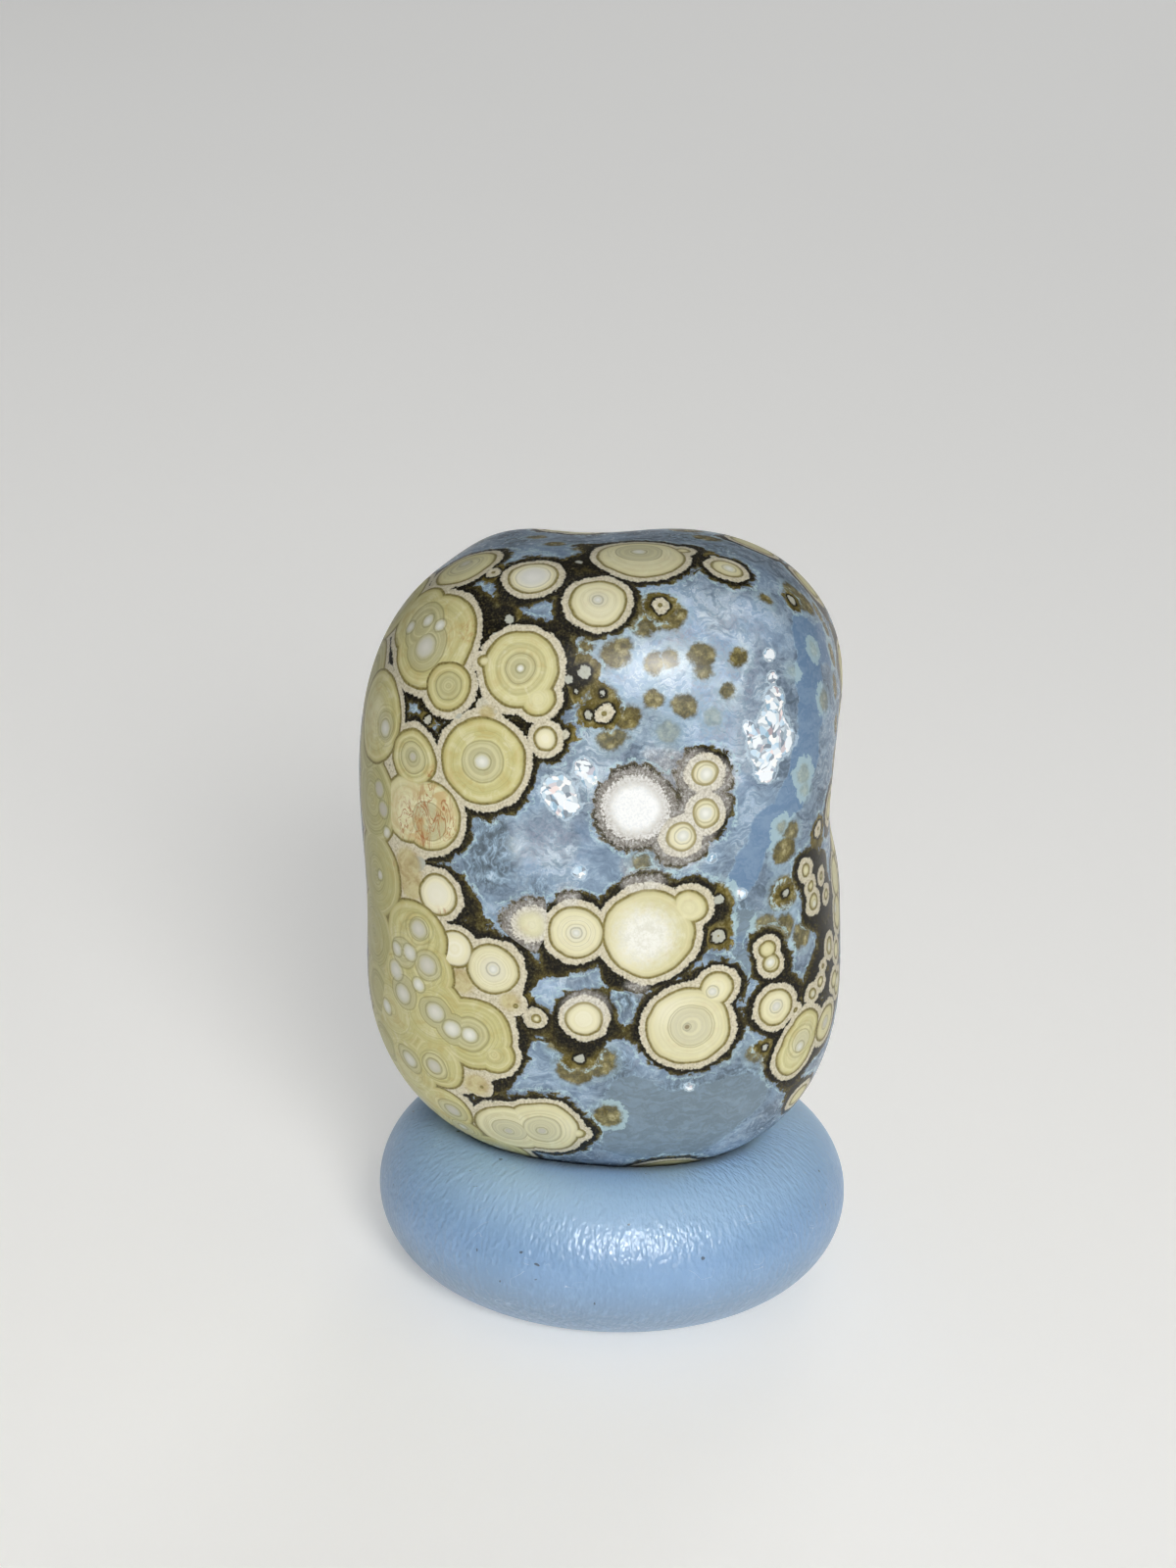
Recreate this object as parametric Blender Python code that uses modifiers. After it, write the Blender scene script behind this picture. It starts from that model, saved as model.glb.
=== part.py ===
"""Agate pebble standing on its ring: two separate pieces at their real size, in metres, +Z up.

The pebble is one rounded block of polished stone. The ring is a soft turned torus with a narrow flat foot.
The origin is on the surface that the ring stands on, in the middle of the object's width and depth.
"""

import math

import bmesh
import bpy
from mathutils import Vector

MM = 0.001

# The pebble, measured from its middle.
PEBBLE_HALF_WIDTH = 12.1 * MM
PEBBLE_HALF_DEPTH = 10.6 * MM
PEBBLE_RISE = 15.4 * MM  # from the middle up to the crown
PEBBLE_DROP = 16.1 * MM  # from the middle down to the underside
PLAN_ROUNDNESS = 2.7  # seen from above: 2 is an ellipse, and higher is boxier
CROWN_ROUNDNESS = 3.2  # the same for the upper half, seen from the front or the side
FOOT_ROUNDNESS = 2.94  # and for the lower half
PEBBLE_MIDDLE = Vector((-1.14, -0.05, 23.3)) * MM  # from the ring's centre, on the ground
GRID_CUTS = 21  # cuts across each side of the cube that the pebble is shaped from

# The worn lumps and hollows: azimuth and elevation in degrees from the pebble's middle, with +X at azimuth 0;
# the spread in degrees; and how far the surface stands out, or lies back where the sign is minus.
LUMPS = {
    "right waist": (2, 4, 25, -1.4 * MM),
    "right belly": (-2, -6, 10, 0.65 * MM),
    "right hip": (-16, -35, 21, 0.45 * MM),
    "right shoulder": (16, 35, 13, 0.85 * MM),
    "right brow": (32, 54, 13, -0.2 * MM),
    "crown": (80, 68, 14, -0.25 * MM),
    "saddle": (98, 69, 6, -0.3 * MM),
    "left crown": (135, 60, 9, 0.4 * MM),
    "left brow": (126, 64, 22, -1.05 * MM),
    "left shoulder": (157, 45, 10, -0.85 * MM),
    "left hip": (-173, -18, 17, -0.6 * MM),
    "left foot": (-164, -36, 9, 0.2 * MM),
    "right foot": (-25, -47, 25, 0.6 * MM),
    "front foot": (-90, -69, 14, 0.4 * MM),
    "back foot": (45, -58, 20, 0.5 * MM),
}

# The ring: an oval section turned about a vertical axis, flattened where it stands and pressed in by the
# pebble above. The seat is part of a ball over the ring's centre.
RING_RADIUS = 7.7 * MM  # from the axis to the middle of the section
RING_HALF_WIDTH = 4.26 * MM  # of the section, across
RING_HALF_HEIGHT = 4.05 * MM  # of the section, upright
FOOT_FLAT = 0.12 * MM  # how much the section is flattened below
SEAT_BALL_RADIUS = 20.0 * MM
SEAT_LOWEST = 6.05 * MM  # the ball's lowest point, above the ground
SECTION_POINTS = 32
RING_STEPS = 64


def finish(name, colour, roughness):
    """A plain Principled finish: the piece's own colour and roughness, with no metal."""
    material = bpy.data.materials.new(name)
    material.use_nodes = True
    shader = material.node_tree.nodes["Principled BSDF"]
    shader.inputs["Base Color"].default_value = (*colour, 1.0)
    shader.inputs["Roughness"].default_value = roughness
    shader.inputs["Metallic"].default_value = 0.0
    return material


def new_object(name, bm, collection, material):
    """The finished bmesh as an object of its own, shaded smooth."""
    mesh = bpy.data.meshes.new(name)
    bm.to_mesh(mesh)
    bm.free()
    mesh.materials.append(material)
    mesh.shade_smooth()
    piece = bpy.data.objects.new(name, mesh)
    collection.objects.link(piece)
    return piece


def direction(azimuth, elevation):
    """The unit vector at an azimuth and an elevation in degrees."""
    a, e = math.radians(azimuth), math.radians(elevation)
    return Vector((math.cos(e) * math.cos(a), math.cos(e) * math.sin(a), math.sin(e)))


def block_radius(d):
    """How far the plain rounded block reaches from its middle in the direction d."""
    half_height, roundness = (PEBBLE_RISE, CROWN_ROUNDNESS) if d.z > 0 else (PEBBLE_DROP, FOOT_ROUNDNESS)
    across = (abs(d.x) / PEBBLE_HALF_WIDTH) ** PLAN_ROUNDNESS + (abs(d.y) / PEBBLE_HALF_DEPTH) ** PLAN_ROUNDNESS
    total = across ** (roundness / PLAN_ROUNDNESS) + (abs(d.z) / half_height) ** roundness
    return total ** (-1 / roundness)


def pebble_radius(d):
    """The block's reach with its lumps and hollows."""
    reach = block_radius(d)
    for azimuth, elevation, spread, height in LUMPS.values():
        apart = math.degrees(d.angle(direction(azimuth, elevation), 0.0))
        reach += height * math.exp(-((apart / spread) ** 2) / 2)
    return reach


def make_pebble(collection):
    """A cube cut into an even grid, then every point set at the pebble's reach in its direction."""
    bm = bmesh.new()
    bmesh.ops.create_cube(bm, size=2.0)
    bmesh.ops.subdivide_edges(bm, edges=bm.edges[:], cuts=GRID_CUTS, use_grid_fill=True)
    for v in bm.verts:
        # The tangent spreads the grid evenly over the sphere, instead of crowding it at the corners.
        d = Vector([math.tan(c * math.pi / 4) for c in v.co]).normalized()
        v.co = d * pebble_radius(d)
    stone = finish("pebble_stone", (0.34, 0.36, 0.30), 0.25)
    pebble = new_object("pebble", bm, collection, stone)
    pebble.location = PEBBLE_MIDDLE
    return pebble


def section_angles():
    """Angles round the section: from the foot's inner edge up the inner side, over the top and down outside."""
    half_foot = math.acos(1 - FOOT_FLAT / RING_HALF_HEIGHT)
    first = -math.pi / 2 - half_foot
    turn = 2 * math.pi - 2 * half_foot
    return [first - turn * i / (SECTION_POINTS - 1) for i in range(SECTION_POINTS)]


def seat_height(x):
    """The height of the seat's surface at a distance x from the ring's axis."""
    return SEAT_LOWEST + SEAT_BALL_RADIUS - math.sqrt(SEAT_BALL_RADIUS**2 - x**2)


def make_ring(collection):
    """The section's outline, pressed down to the seat, and turned once about the ring's axis."""
    bm = bmesh.new()
    middle_height = RING_HALF_HEIGHT - FOOT_FLAT
    outline = []
    for angle in section_angles():
        x = RING_RADIUS + RING_HALF_WIDTH * math.cos(angle)
        z = middle_height + RING_HALF_HEIGHT * math.sin(angle)
        outline.append(bm.verts.new((x, 0.0, min(z, seat_height(x)))))
    for here, there in zip(outline, outline[1:] + outline[:1]):
        bm.edges.new((here, there))
    rubber = finish("ring_rubber", (0.15, 0.23, 0.32), 0.6)
    ring = new_object("ring_stand", bm, collection, rubber)
    screw = ring.modifiers.new("turn", "SCREW")
    screw.axis = "Z"
    screw.angle = 2 * math.pi
    screw.steps = RING_STEPS
    screw.render_steps = RING_STEPS
    screw.use_merge_vertices = True
    screw.merge_threshold = 0.00001
    screw.use_smooth_shade = True
    return ring


def sideways_shift(pebble):
    """How far both pieces go along x, so that the middle of their shared width is at x = 0."""
    left = min(v.co.x for v in pebble.data.vertices) + pebble.location.x
    right = RING_RADIUS + RING_HALF_WIDTH
    return -(left + right) / 2


def main():
    for old in list(bpy.data.objects):
        bpy.data.objects.remove(old, do_unlink=True)
    collection = bpy.data.collections.new("agate_pebble")
    bpy.context.scene.collection.children.link(collection)
    pebble = make_pebble(collection)
    ring = make_ring(collection)
    shift = sideways_shift(pebble)
    for piece in (pebble, ring):
        piece.location.x += shift
    print(f"both pieces moved {shift / MM:.2f} mm along x")


main()
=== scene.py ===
# %% [markdown]
# # An agate pebble on a ring stand
# This lesson dresses two plain solids: a tumbled pebble of orb agate, and the soft ring that it stands on.
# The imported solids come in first. They give every place and size, and each piece made here sits on them.

import math

import bmesh
import bpy
import numpy as np
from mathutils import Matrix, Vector
from mathutils.bvhtree import BVHTree


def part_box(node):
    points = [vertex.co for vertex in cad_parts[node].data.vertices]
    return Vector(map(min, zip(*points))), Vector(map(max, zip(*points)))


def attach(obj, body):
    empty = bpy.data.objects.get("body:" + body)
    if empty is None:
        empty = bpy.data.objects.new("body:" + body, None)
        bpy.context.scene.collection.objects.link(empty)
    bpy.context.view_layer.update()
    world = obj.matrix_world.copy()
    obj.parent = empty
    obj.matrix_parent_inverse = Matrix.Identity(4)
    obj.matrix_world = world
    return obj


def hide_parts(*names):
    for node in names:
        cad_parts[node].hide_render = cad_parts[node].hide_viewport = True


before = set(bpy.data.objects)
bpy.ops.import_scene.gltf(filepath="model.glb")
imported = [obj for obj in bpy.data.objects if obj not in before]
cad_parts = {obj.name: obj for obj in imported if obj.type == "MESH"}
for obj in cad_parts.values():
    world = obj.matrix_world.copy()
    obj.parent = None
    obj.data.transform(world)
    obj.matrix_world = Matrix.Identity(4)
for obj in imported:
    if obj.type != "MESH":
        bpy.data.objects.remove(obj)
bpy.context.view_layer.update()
MM = 0.001
scene = bpy.context.scene
pebble_low, pebble_high = (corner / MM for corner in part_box("pebble"))
ring_low, ring_high = (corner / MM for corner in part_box("ring_stand"))
print("pebble box in mm:", [round(c, 2) for c in (*pebble_low, *pebble_high)])
print("ring box in mm:", [round(c, 2) for c in (*ring_low, *ring_high)])

# %% [markdown]
# ## The camera
# A close look from a little above, with a slight lean to the right. The camera is placed backwards from
# what it sees: the middle of the ring lands on a chosen picture point at a chosen distance. All picture
# points in this file are counted on a picture of 1200 by 1600.

# %% Camera
PICTURE_WIDTH, PICTURE_HEIGHT = 1200, 1600
LENS, SENSOR = 75.0, 36.0
LOOK_DOWN = math.radians(19.0)
LEAN = math.radians(1.8)
RING_MIDDLE_IN_PICTURE = (624.4, 1203.6)
RING_MIDDLE_AWAY = 168.7  # mm, along the camera's axis
RING_MIDDLE_HEIGHT = 3.93  # mm, of the section's centre
PIXELS_PER_UNIT = LENS / SENSOR * PICTURE_HEIGHT  # picture pixels across one unit of slope

ring_middle = Vector(((ring_low.x + ring_high.x) / 2, 0.0, RING_MIDDLE_HEIGHT))
back = Vector((0.0, -math.cos(LOOK_DOWN), math.sin(LOOK_DOWN)))
level_right = Vector((1.0, 0.0, 0.0))
level_up = back.cross(level_right)
cam_right = math.cos(LEAN) * level_right + math.sin(LEAN) * level_up
cam_up = math.cos(LEAN) * level_up - math.sin(LEAN) * level_right


def slopes(x, y):
    """How far a picture point lies to the right of the axis and above it, per unit of distance."""
    return (x - PICTURE_WIDTH / 2) / PIXELS_PER_UNIT, (PICTURE_HEIGHT / 2 - y) / PIXELS_PER_UNIT


across, above = slopes(*RING_MIDDLE_IN_PICTURE)
cam_place = ring_middle + RING_MIDDLE_AWAY * (back - across * cam_right - above * cam_up)

camera = bpy.data.objects.new("camera", bpy.data.cameras.new("camera"))
scene.collection.objects.link(camera)
camera.data.lens = LENS
camera.data.sensor_fit = "VERTICAL"
camera.data.sensor_height = SENSOR
camera.data.clip_start = 0.005
camera.data.clip_end = 20.0
pose = camera.matrix_world.copy()
for column, axis in enumerate((cam_right, cam_up, back)):
    for row in range(3):
        pose[row][column] = axis[row]
for row in range(3):
    pose[row][3] = cam_place[row] * MM
camera.matrix_world = pose
scene.camera = camera
print("camera at, mm:", [round(c, 1) for c in cam_place])

# %% [markdown]
# ## Floor and lights
# A plain pale floor, wide enough to fill the view, and soft studio light. The big lamp hangs near the
# camera, a little to its right, so the front is evenly lit and the far edges of the stone fall off. Its
# reflection would lie over the moss as a white veil, so it is kept out of the gloss, and a small lamp
# beside it gives the glints. A grid in front of it narrows its light, so it makes no bright pool on the
# floor. A weaker one of the same kind reaches the back, and a wide panel high above lights the floor
# evenly. The world lights with a low grey, but shows a paler one behind the floor's edge.


# %% Colours and signals
def paint(code):
    """A colour such as 'DCD296', as the linear RGBA that shaders use."""
    shares = [int(code[i : i + 2], 16) / 255 for i in (0, 2, 4)]
    return (*(s / 12.92 if s <= 0.04045 else ((s + 0.055) / 1.055) ** 2.4 for s in shares), 1.0)


class Signal:
    """A number or a vector that changes over the surface. A sum or product of signals becomes a Math node."""

    def __init__(self, bench, socket):
        self.bench = bench
        self.socket = socket
        self.is_vector = socket.type in ("VECTOR", "RGBA")

    def sum_with(self, operation, first, second):
        if not self.is_vector:
            return self.bench.math(operation, first, second)
        if operation == "MULTIPLY" and not isinstance(second, tuple):
            return self.bench.vector_math("SCALE", {"Vector": first, "Scale": second})
        triples = [(v, v, v) if isinstance(v, (int, float)) else v for v in (first, second)]
        return self.bench.vector_math(operation, dict(enumerate(triples)))

    def __add__(self, other):
        return self.sum_with("ADD", self, other)

    def __radd__(self, other):
        return self.sum_with("ADD", other, self)

    def __sub__(self, other):
        return self.sum_with("SUBTRACT", self, other)

    def __rsub__(self, other):
        return self.sum_with("SUBTRACT", other, self)

    def __mul__(self, other):
        return self.sum_with("MULTIPLY", self, other)

    __rmul__ = __mul__

    def __truediv__(self, other):
        return self.sum_with("DIVIDE", self, other)

    def __neg__(self):
        return self * -1.0

    def rise(self, low, high, start=0.0, end=1.0):
        """Goes smoothly from start to end as this signal goes from low to high."""
        inputs = {"Value": self, "From Min": low, "From Max": high, "To Min": start, "To Max": end}
        return self.bench.make("ShaderNodeMapRange", None, inputs, "Result", interpolation_type="SMOOTHSTEP")

    def size(self):
        return self.bench.math("ABSOLUTE", self)

    def near(self, level, width):
        """A thin line: 1 where this signal equals level, and 0 at width from it."""
        return (self - level).size().rise(width, 0.0)

    def clamped(self):
        return self.bench.math("ADD", self, 0.0, clamp=True)

    def parts(self):
        return self.bench.parts_of(self)


class Bench:
    """Places nodes in one node tree and wires them."""

    def __init__(self, tree):
        self.tree = tree

    def feed(self, socket, value):
        """A wire if value comes from another node, and otherwise a fixed value, or a colour by its code."""
        if isinstance(value, Signal):
            self.tree.links.new(value.socket, socket)
        else:
            socket.default_value = paint(value) if isinstance(value, str) else value

    def make(self, kind, operation, inputs, output, **settings):
        """Adds a node with its settings and inputs, and returns one of its outputs as a signal."""
        made = self.tree.nodes.new(kind)
        if operation:
            made.operation = operation
        for name, value in settings.items():
            setattr(made, name, value)
        for name, value in inputs.items():
            self.feed(made.inputs[name], value)
        return Signal(self, made.outputs[output])

    def math(self, operation, *values, clamp=False):
        return self.make("ShaderNodeMath", operation, dict(enumerate(values)), 0, use_clamp=clamp)

    def vector_math(self, operation, inputs, output="Vector"):
        return self.make("ShaderNodeVectorMath", operation, inputs, output)

    def mix(self, share, first, second, kind="RGBA"):
        """First where share is 0, second where it is 1, and mixed between."""
        made = self.tree.nodes.new("ShaderNodeMix")
        made.data_type = kind
        for socket, value in zip([s for s in made.inputs if s.enabled], (share, first, second)):
            self.feed(socket, value)
        return Signal(self, next(s for s in made.outputs if s.enabled))

    def ramp(self, share, *stops):
        """Colours on the way from 0 to 1: each stop is (place, colour)."""
        made = self.tree.nodes.new("ShaderNodeValToRGB")
        elements = made.color_ramp.elements
        elements[0].position = stops[0][0]
        elements[1].position = stops[-1][0]
        for place, code in stops[1:-1]:
            elements.new(place)
        for element, (place, code) in zip(elements, stops):
            element.color = paint(code)
        self.feed(made.inputs[0], share)
        return Signal(self, made.outputs[0])

    def noise(self, place, scale, detail=2.0, roughness=0.5, distortion=0.0, output="Fac", w=None):
        """Cloudy noise between 0 and 1. With w it changes with w too, and without a place with w alone."""
        inputs = {"Scale": scale, "Detail": detail, "Roughness": roughness, "Distortion": distortion}
        if place is not None:
            inputs["Vector"] = place
        if w is not None:
            inputs["W"] = w
        dimensions = "3D" if w is None else "1D" if place is None else "4D"
        return self.make("ShaderNodeTexNoise", None, inputs, output, noise_dimensions=dimensions)

    def cells(self, place, scale, feature="F1", output="Color"):
        """Small closed cells, as of grains: a random colour for each, or the distance to their walls."""
        inputs = {"Vector": place, "Scale": scale}
        return self.make("ShaderNodeTexVoronoi", None, inputs, output, feature=feature)

    def stored(self, name, output="Vector"):
        """What the mesh stores under a name: Vector for three numbers, and Fac for one."""
        return self.make("ShaderNodeAttribute", None, {}, output, attribute_name=name)

    def parts_of(self, vector):
        """A vector's three numbers, each a signal of its own."""
        made = self.tree.nodes.new("ShaderNodeSeparateXYZ")
        self.feed(made.inputs[0], vector)
        return [Signal(self, output) for output in made.outputs]

    def packed(self, *values):
        return self.make("ShaderNodeCombineXYZ", None, dict(enumerate(values)), 0)

    def object_point(self):
        """The place on the piece, in mm."""
        return self.make("ShaderNodeTexCoord", None, {}, "Object") * 1000.0


def new_material(name):
    """A Principled material with nothing wired: (material, its bench, its shader)."""
    material = bpy.data.materials.new(name)
    material.use_nodes = True
    shader = material.node_tree.nodes["Principled BSDF"]
    return material, Bench(material.node_tree), shader


def add_relief(bench, shader, height, strength, depth_mm):
    """Fine relief in the shading only, from a height between 0 and 1."""
    inputs = {"Strength": strength, "Distance": depth_mm * MM, "Height": height}
    bench.feed(shader.inputs["Normal"], bench.make("ShaderNodeBump", None, inputs, "Normal"))


def new_piece(name, vertices_mm, faces, material):
    """A smooth mesh object from points in mm."""
    mesh = bpy.data.meshes.new(name)
    mesh.from_pydata((np.asarray(vertices_mm) * MM).tolist(), [], faces)
    mesh.materials.append(material)
    mesh.shade_smooth()
    piece = bpy.data.objects.new(name, mesh)
    scene.collection.objects.link(piece)
    return piece


print("a yellow in linear light:", [round(share, 3) for share in paint("DCD296")])

# %% Floor
FLOOR_HALF = 2500.0  # mm
FLOOR_GLOW = 0.33  # a little light of its own, so that the far floor doesn't turn grey

floor_material, bench, shader = new_material("pale_floor")
cloud = bench.noise(bench.object_point(), 0.006, detail=3.0)
bench.feed(shader.inputs["Base Color"], bench.mix(cloud, "EAE9E6", "EFEEEC"))
shader.inputs["Roughness"].default_value = 0.85
shader.inputs["Emission Color"].default_value = paint("F2F2F0")
shader.inputs["Emission Strength"].default_value = FLOOR_GLOW
corners = [(x * FLOOR_HALF, y * FLOOR_HALF, 0.0) for x, y in ((-1, -1), (1, -1), (1, 1), (-1, 1))]
floor = new_piece("floor", corners, [(0, 1, 2, 3)], floor_material)
print("floor:", floor.name)


# %% Lamps and world
LAMP_AIM = Vector((0.0, 0.0, 20.0)) * MM
GRID_SPREAD = math.radians(60)
WORLD_LIGHT, WORLD_SEEN = 0.11, 0.54  # how strongly the world lights the stone, and how bright it looks


def soft_lamp(name, azimuth, elevation, away, size, watts, colour):
    """A round lamp that looks at the stone. Azimuth 0 is towards the camera, and plus is to its right.
    The angles are in degrees, and the distance and the size in mm."""
    a, e = math.radians(azimuth), math.radians(elevation)
    level = math.cos(e)
    place = LAMP_AIM + away * MM * Vector((level * math.sin(a), -level * math.cos(a), math.sin(e)))
    lamp = bpy.data.objects.new(name, bpy.data.lights.new(name, "AREA"))
    scene.collection.objects.link(lamp)
    lamp.data.shape = "DISK"
    lamp.data.size = size * MM
    lamp.data.energy = watts
    lamp.data.color = colour
    lamp.location = place
    lamp.rotation_euler = (place - LAMP_AIM).to_track_quat("Z", "Y").to_euler()
    return lamp


WARM, COOL, WHITE = (1.0, 0.985, 0.96), (0.97, 0.98, 1.0), (1.0, 1.0, 1.0)
key = soft_lamp("key", azimuth=13, elevation=26, away=420, size=150, watts=0.14, colour=WARM)
back_fill = soft_lamp("back_fill", azimuth=168, elevation=15, away=1400, size=700, watts=0.65, colour=COOL)
for lamp in (key, back_fill):
    lamp.data.spread = GRID_SPREAD
    lamp.visible_glossy = False
glint = soft_lamp("glint", azimuth=12, elevation=36, away=420, size=80, watts=1.5, colour=WHITE)
glint.visible_diffuse = False
ceiling = (0.98, 0.99, 1.0)
soft_lamp("ceiling_panel", azimuth=0, elevation=89.9, away=2400, size=3000, watts=10.0, colour=ceiling)
world = bpy.data.worlds.new("studio")
scene.world = world
world.use_nodes = True
world_bench = Bench(world.node_tree)
ambient = world.node_tree.nodes["Background"]
ambient.inputs["Color"].default_value = paint("E0E0DF")
seen = world_bench.make("ShaderNodeLightPath", None, {}, "Is Camera Ray")
world_bench.feed(ambient.inputs["Strength"], seen.rise(0.0, 1.0, WORLD_LIGHT, WORLD_SEEN))
scene.view_settings.view_transform = "Standard"

# %% [markdown]
# ## The pebble's shape
# A tumbled pebble is a rounded block with a few worn lumps and hollows. The solid was made by one formula,
# so the fine mesh repeats it: a cube cut into an even grid, with every point set at the formula's reach in
# its direction. Sculpting by hand would give a like form, but the formula keeps it on the solid exactly.

# %% The formula, in mm
PEBBLE_HALF_WIDTH, PEBBLE_HALF_DEPTH = 12.1, 10.6
PEBBLE_RISE, PEBBLE_DROP = 15.4, 16.1  # from the middle up to the crown, and down to the underside
PLAN_ROUNDNESS, CROWN_ROUNDNESS, FOOT_ROUNDNESS = 2.7, 3.2, 2.94
PEBBLE_MIDDLE = np.array([ring_middle.x - 1.14, -0.05, 23.3])
FINE_CUTS = 98  # cuts across each side of the cube

# Azimuth and elevation in degrees, the spread in degrees, and how far the surface stands out in mm. Where the
# last is less than nothing, the surface lies back.
LUMPS = {
    "right waist": (2, 4, 25, -1.4),
    "right belly": (-2, -6, 10, 0.65),
    "right hip": (-16, -35, 21, 0.45),
    "right shoulder": (16, 35, 13, 0.85),
    "right brow": (32, 54, 13, -0.2),
    "crown": (80, 68, 14, -0.25),
    "saddle": (98, 69, 6, -0.3),
    "left crown": (135, 60, 9, 0.4),
    "left brow": (126, 64, 22, -1.05),
    "left shoulder": (157, 45, 10, -0.85),
    "left hip": (-173, -18, 17, -0.6),
    "left foot": (-164, -36, 9, 0.2),
    "right foot": (-25, -47, 25, 0.6),
    "front foot": (-90, -69, 14, 0.4),
    "back foot": (45, -58, 20, 0.5),
}


def direction(azimuth, elevation):
    """The unit vector at an azimuth and an elevation in degrees, with +X at azimuth 0."""
    a, e = math.radians(azimuth), math.radians(elevation)
    return np.array([math.cos(e) * math.cos(a), math.cos(e) * math.sin(a), math.sin(e)])


def degrees_apart(d, azimuth, elevation):
    """The angle between a direction given in degrees and the unit vector d, or each of the rows of d."""
    return np.degrees(np.arccos(np.clip(d @ direction(azimuth, elevation), -1, 1)))


def pebble_reach(d):
    """How far the surface is from the middle, for unit directions d of shape (n, 3)."""
    x, y, z = np.abs(d).T
    half_height = np.where(d[:, 2] > 0, PEBBLE_RISE, PEBBLE_DROP)
    roundness = np.where(d[:, 2] > 0, CROWN_ROUNDNESS, FOOT_ROUNDNESS)
    plan = (x / PEBBLE_HALF_WIDTH) ** PLAN_ROUNDNESS + (y / PEBBLE_HALF_DEPTH) ** PLAN_ROUNDNESS
    reach = (plan ** (roundness / PLAN_ROUNDNESS) + (z / half_height) ** roundness) ** (-1 / roundness)
    for azimuth, elevation, spread, height in LUMPS.values():
        apart = degrees_apart(d, azimuth, elevation)
        reach = reach + height * np.exp(-((apart / spread) ** 2) / 2)
    return reach


def on_pebble(d):
    """The surface points in directions d."""
    d = np.atleast_2d(d)
    d = d / np.linalg.norm(d, axis=1, keepdims=True)
    return PEBBLE_MIDDLE + d * pebble_reach(d)[:, None]


# %% The fine grid
bm = bmesh.new()
bmesh.ops.create_cube(bm, size=2.0)
bmesh.ops.subdivide_edges(bm, edges=bm.edges[:], cuts=FINE_CUTS, use_grid_fill=True)
cube_points = np.array([v.co for v in bm.verts])
pebble_faces = np.array([[v.index for v in f.verts] for f in bm.faces])
bm.free()
pebble_points = on_pebble(np.tan(cube_points * math.pi / 4))
print("pebble:", len(pebble_faces), "faces, lowest point", round(pebble_points[:, 2].min(), 3), "mm")

# %% [markdown]
# ## Aiming at the stone
# The orbs are placed by picture points. A ray goes from the camera through the point, and the orb's centre
# is where the ray meets the stone, so every orb sits in the surface from any side.

# %% Aim
stone_tree = BVHTree.FromPolygons(pebble_points.tolist(), pebble_faces.tolist())


def aim(x, y):
    """The point of the stone behind a picture point. A ray that just misses takes the nearest point."""
    across, above = slopes(x, y)
    ray = (across * cam_right + above * cam_up - back).normalized()
    hit = stone_tree.ray_cast(cam_place, ray)[0]
    if hit is None:
        beside = cam_place + ray * RING_MIDDLE_AWAY
        hit = stone_tree.find_nearest(beside)[0]
    return np.array(hit)


print("centre of the picture meets the stone at, mm:", aim(600, 800).round(2))

# %% [markdown]
# ## The orbs
# Orb agate grew as small balls of yellow chalcedony round many seeds, and the pebble's surface cuts through
# them. Each ball shows as a disc with faint growth rings, a thin brown outline, a pale grainy rim, and a
# dark crust of iron and chlorite where it met the blue agate. A ball cut near its top shows only its rim,
# as a grey grain. Here every orb is a real sphere: a centre on the surface and a radius, so the slant and
# the cut come out right.
#
# Most orbs are joined: they share one outline where they meet. A few lie over the others, and cut across
# what was laid down before them. The tone of a row is its last number: 0 is yellow, 1 is nearly white, less
# than 0 is greener, and 2 more makes the edge fuzzy.

# %% Orbs on the front: picture x, picture y, radius in mm, tone
FUZZY = 2.0
JOINED, OVER = -1000.0, 0.0  # the largest gap at which an orb still hides those before it
OVER_ORBS = ("shoulder, small", "left waist, narrow", "left waist, wide", "mass, top, head")
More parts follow.
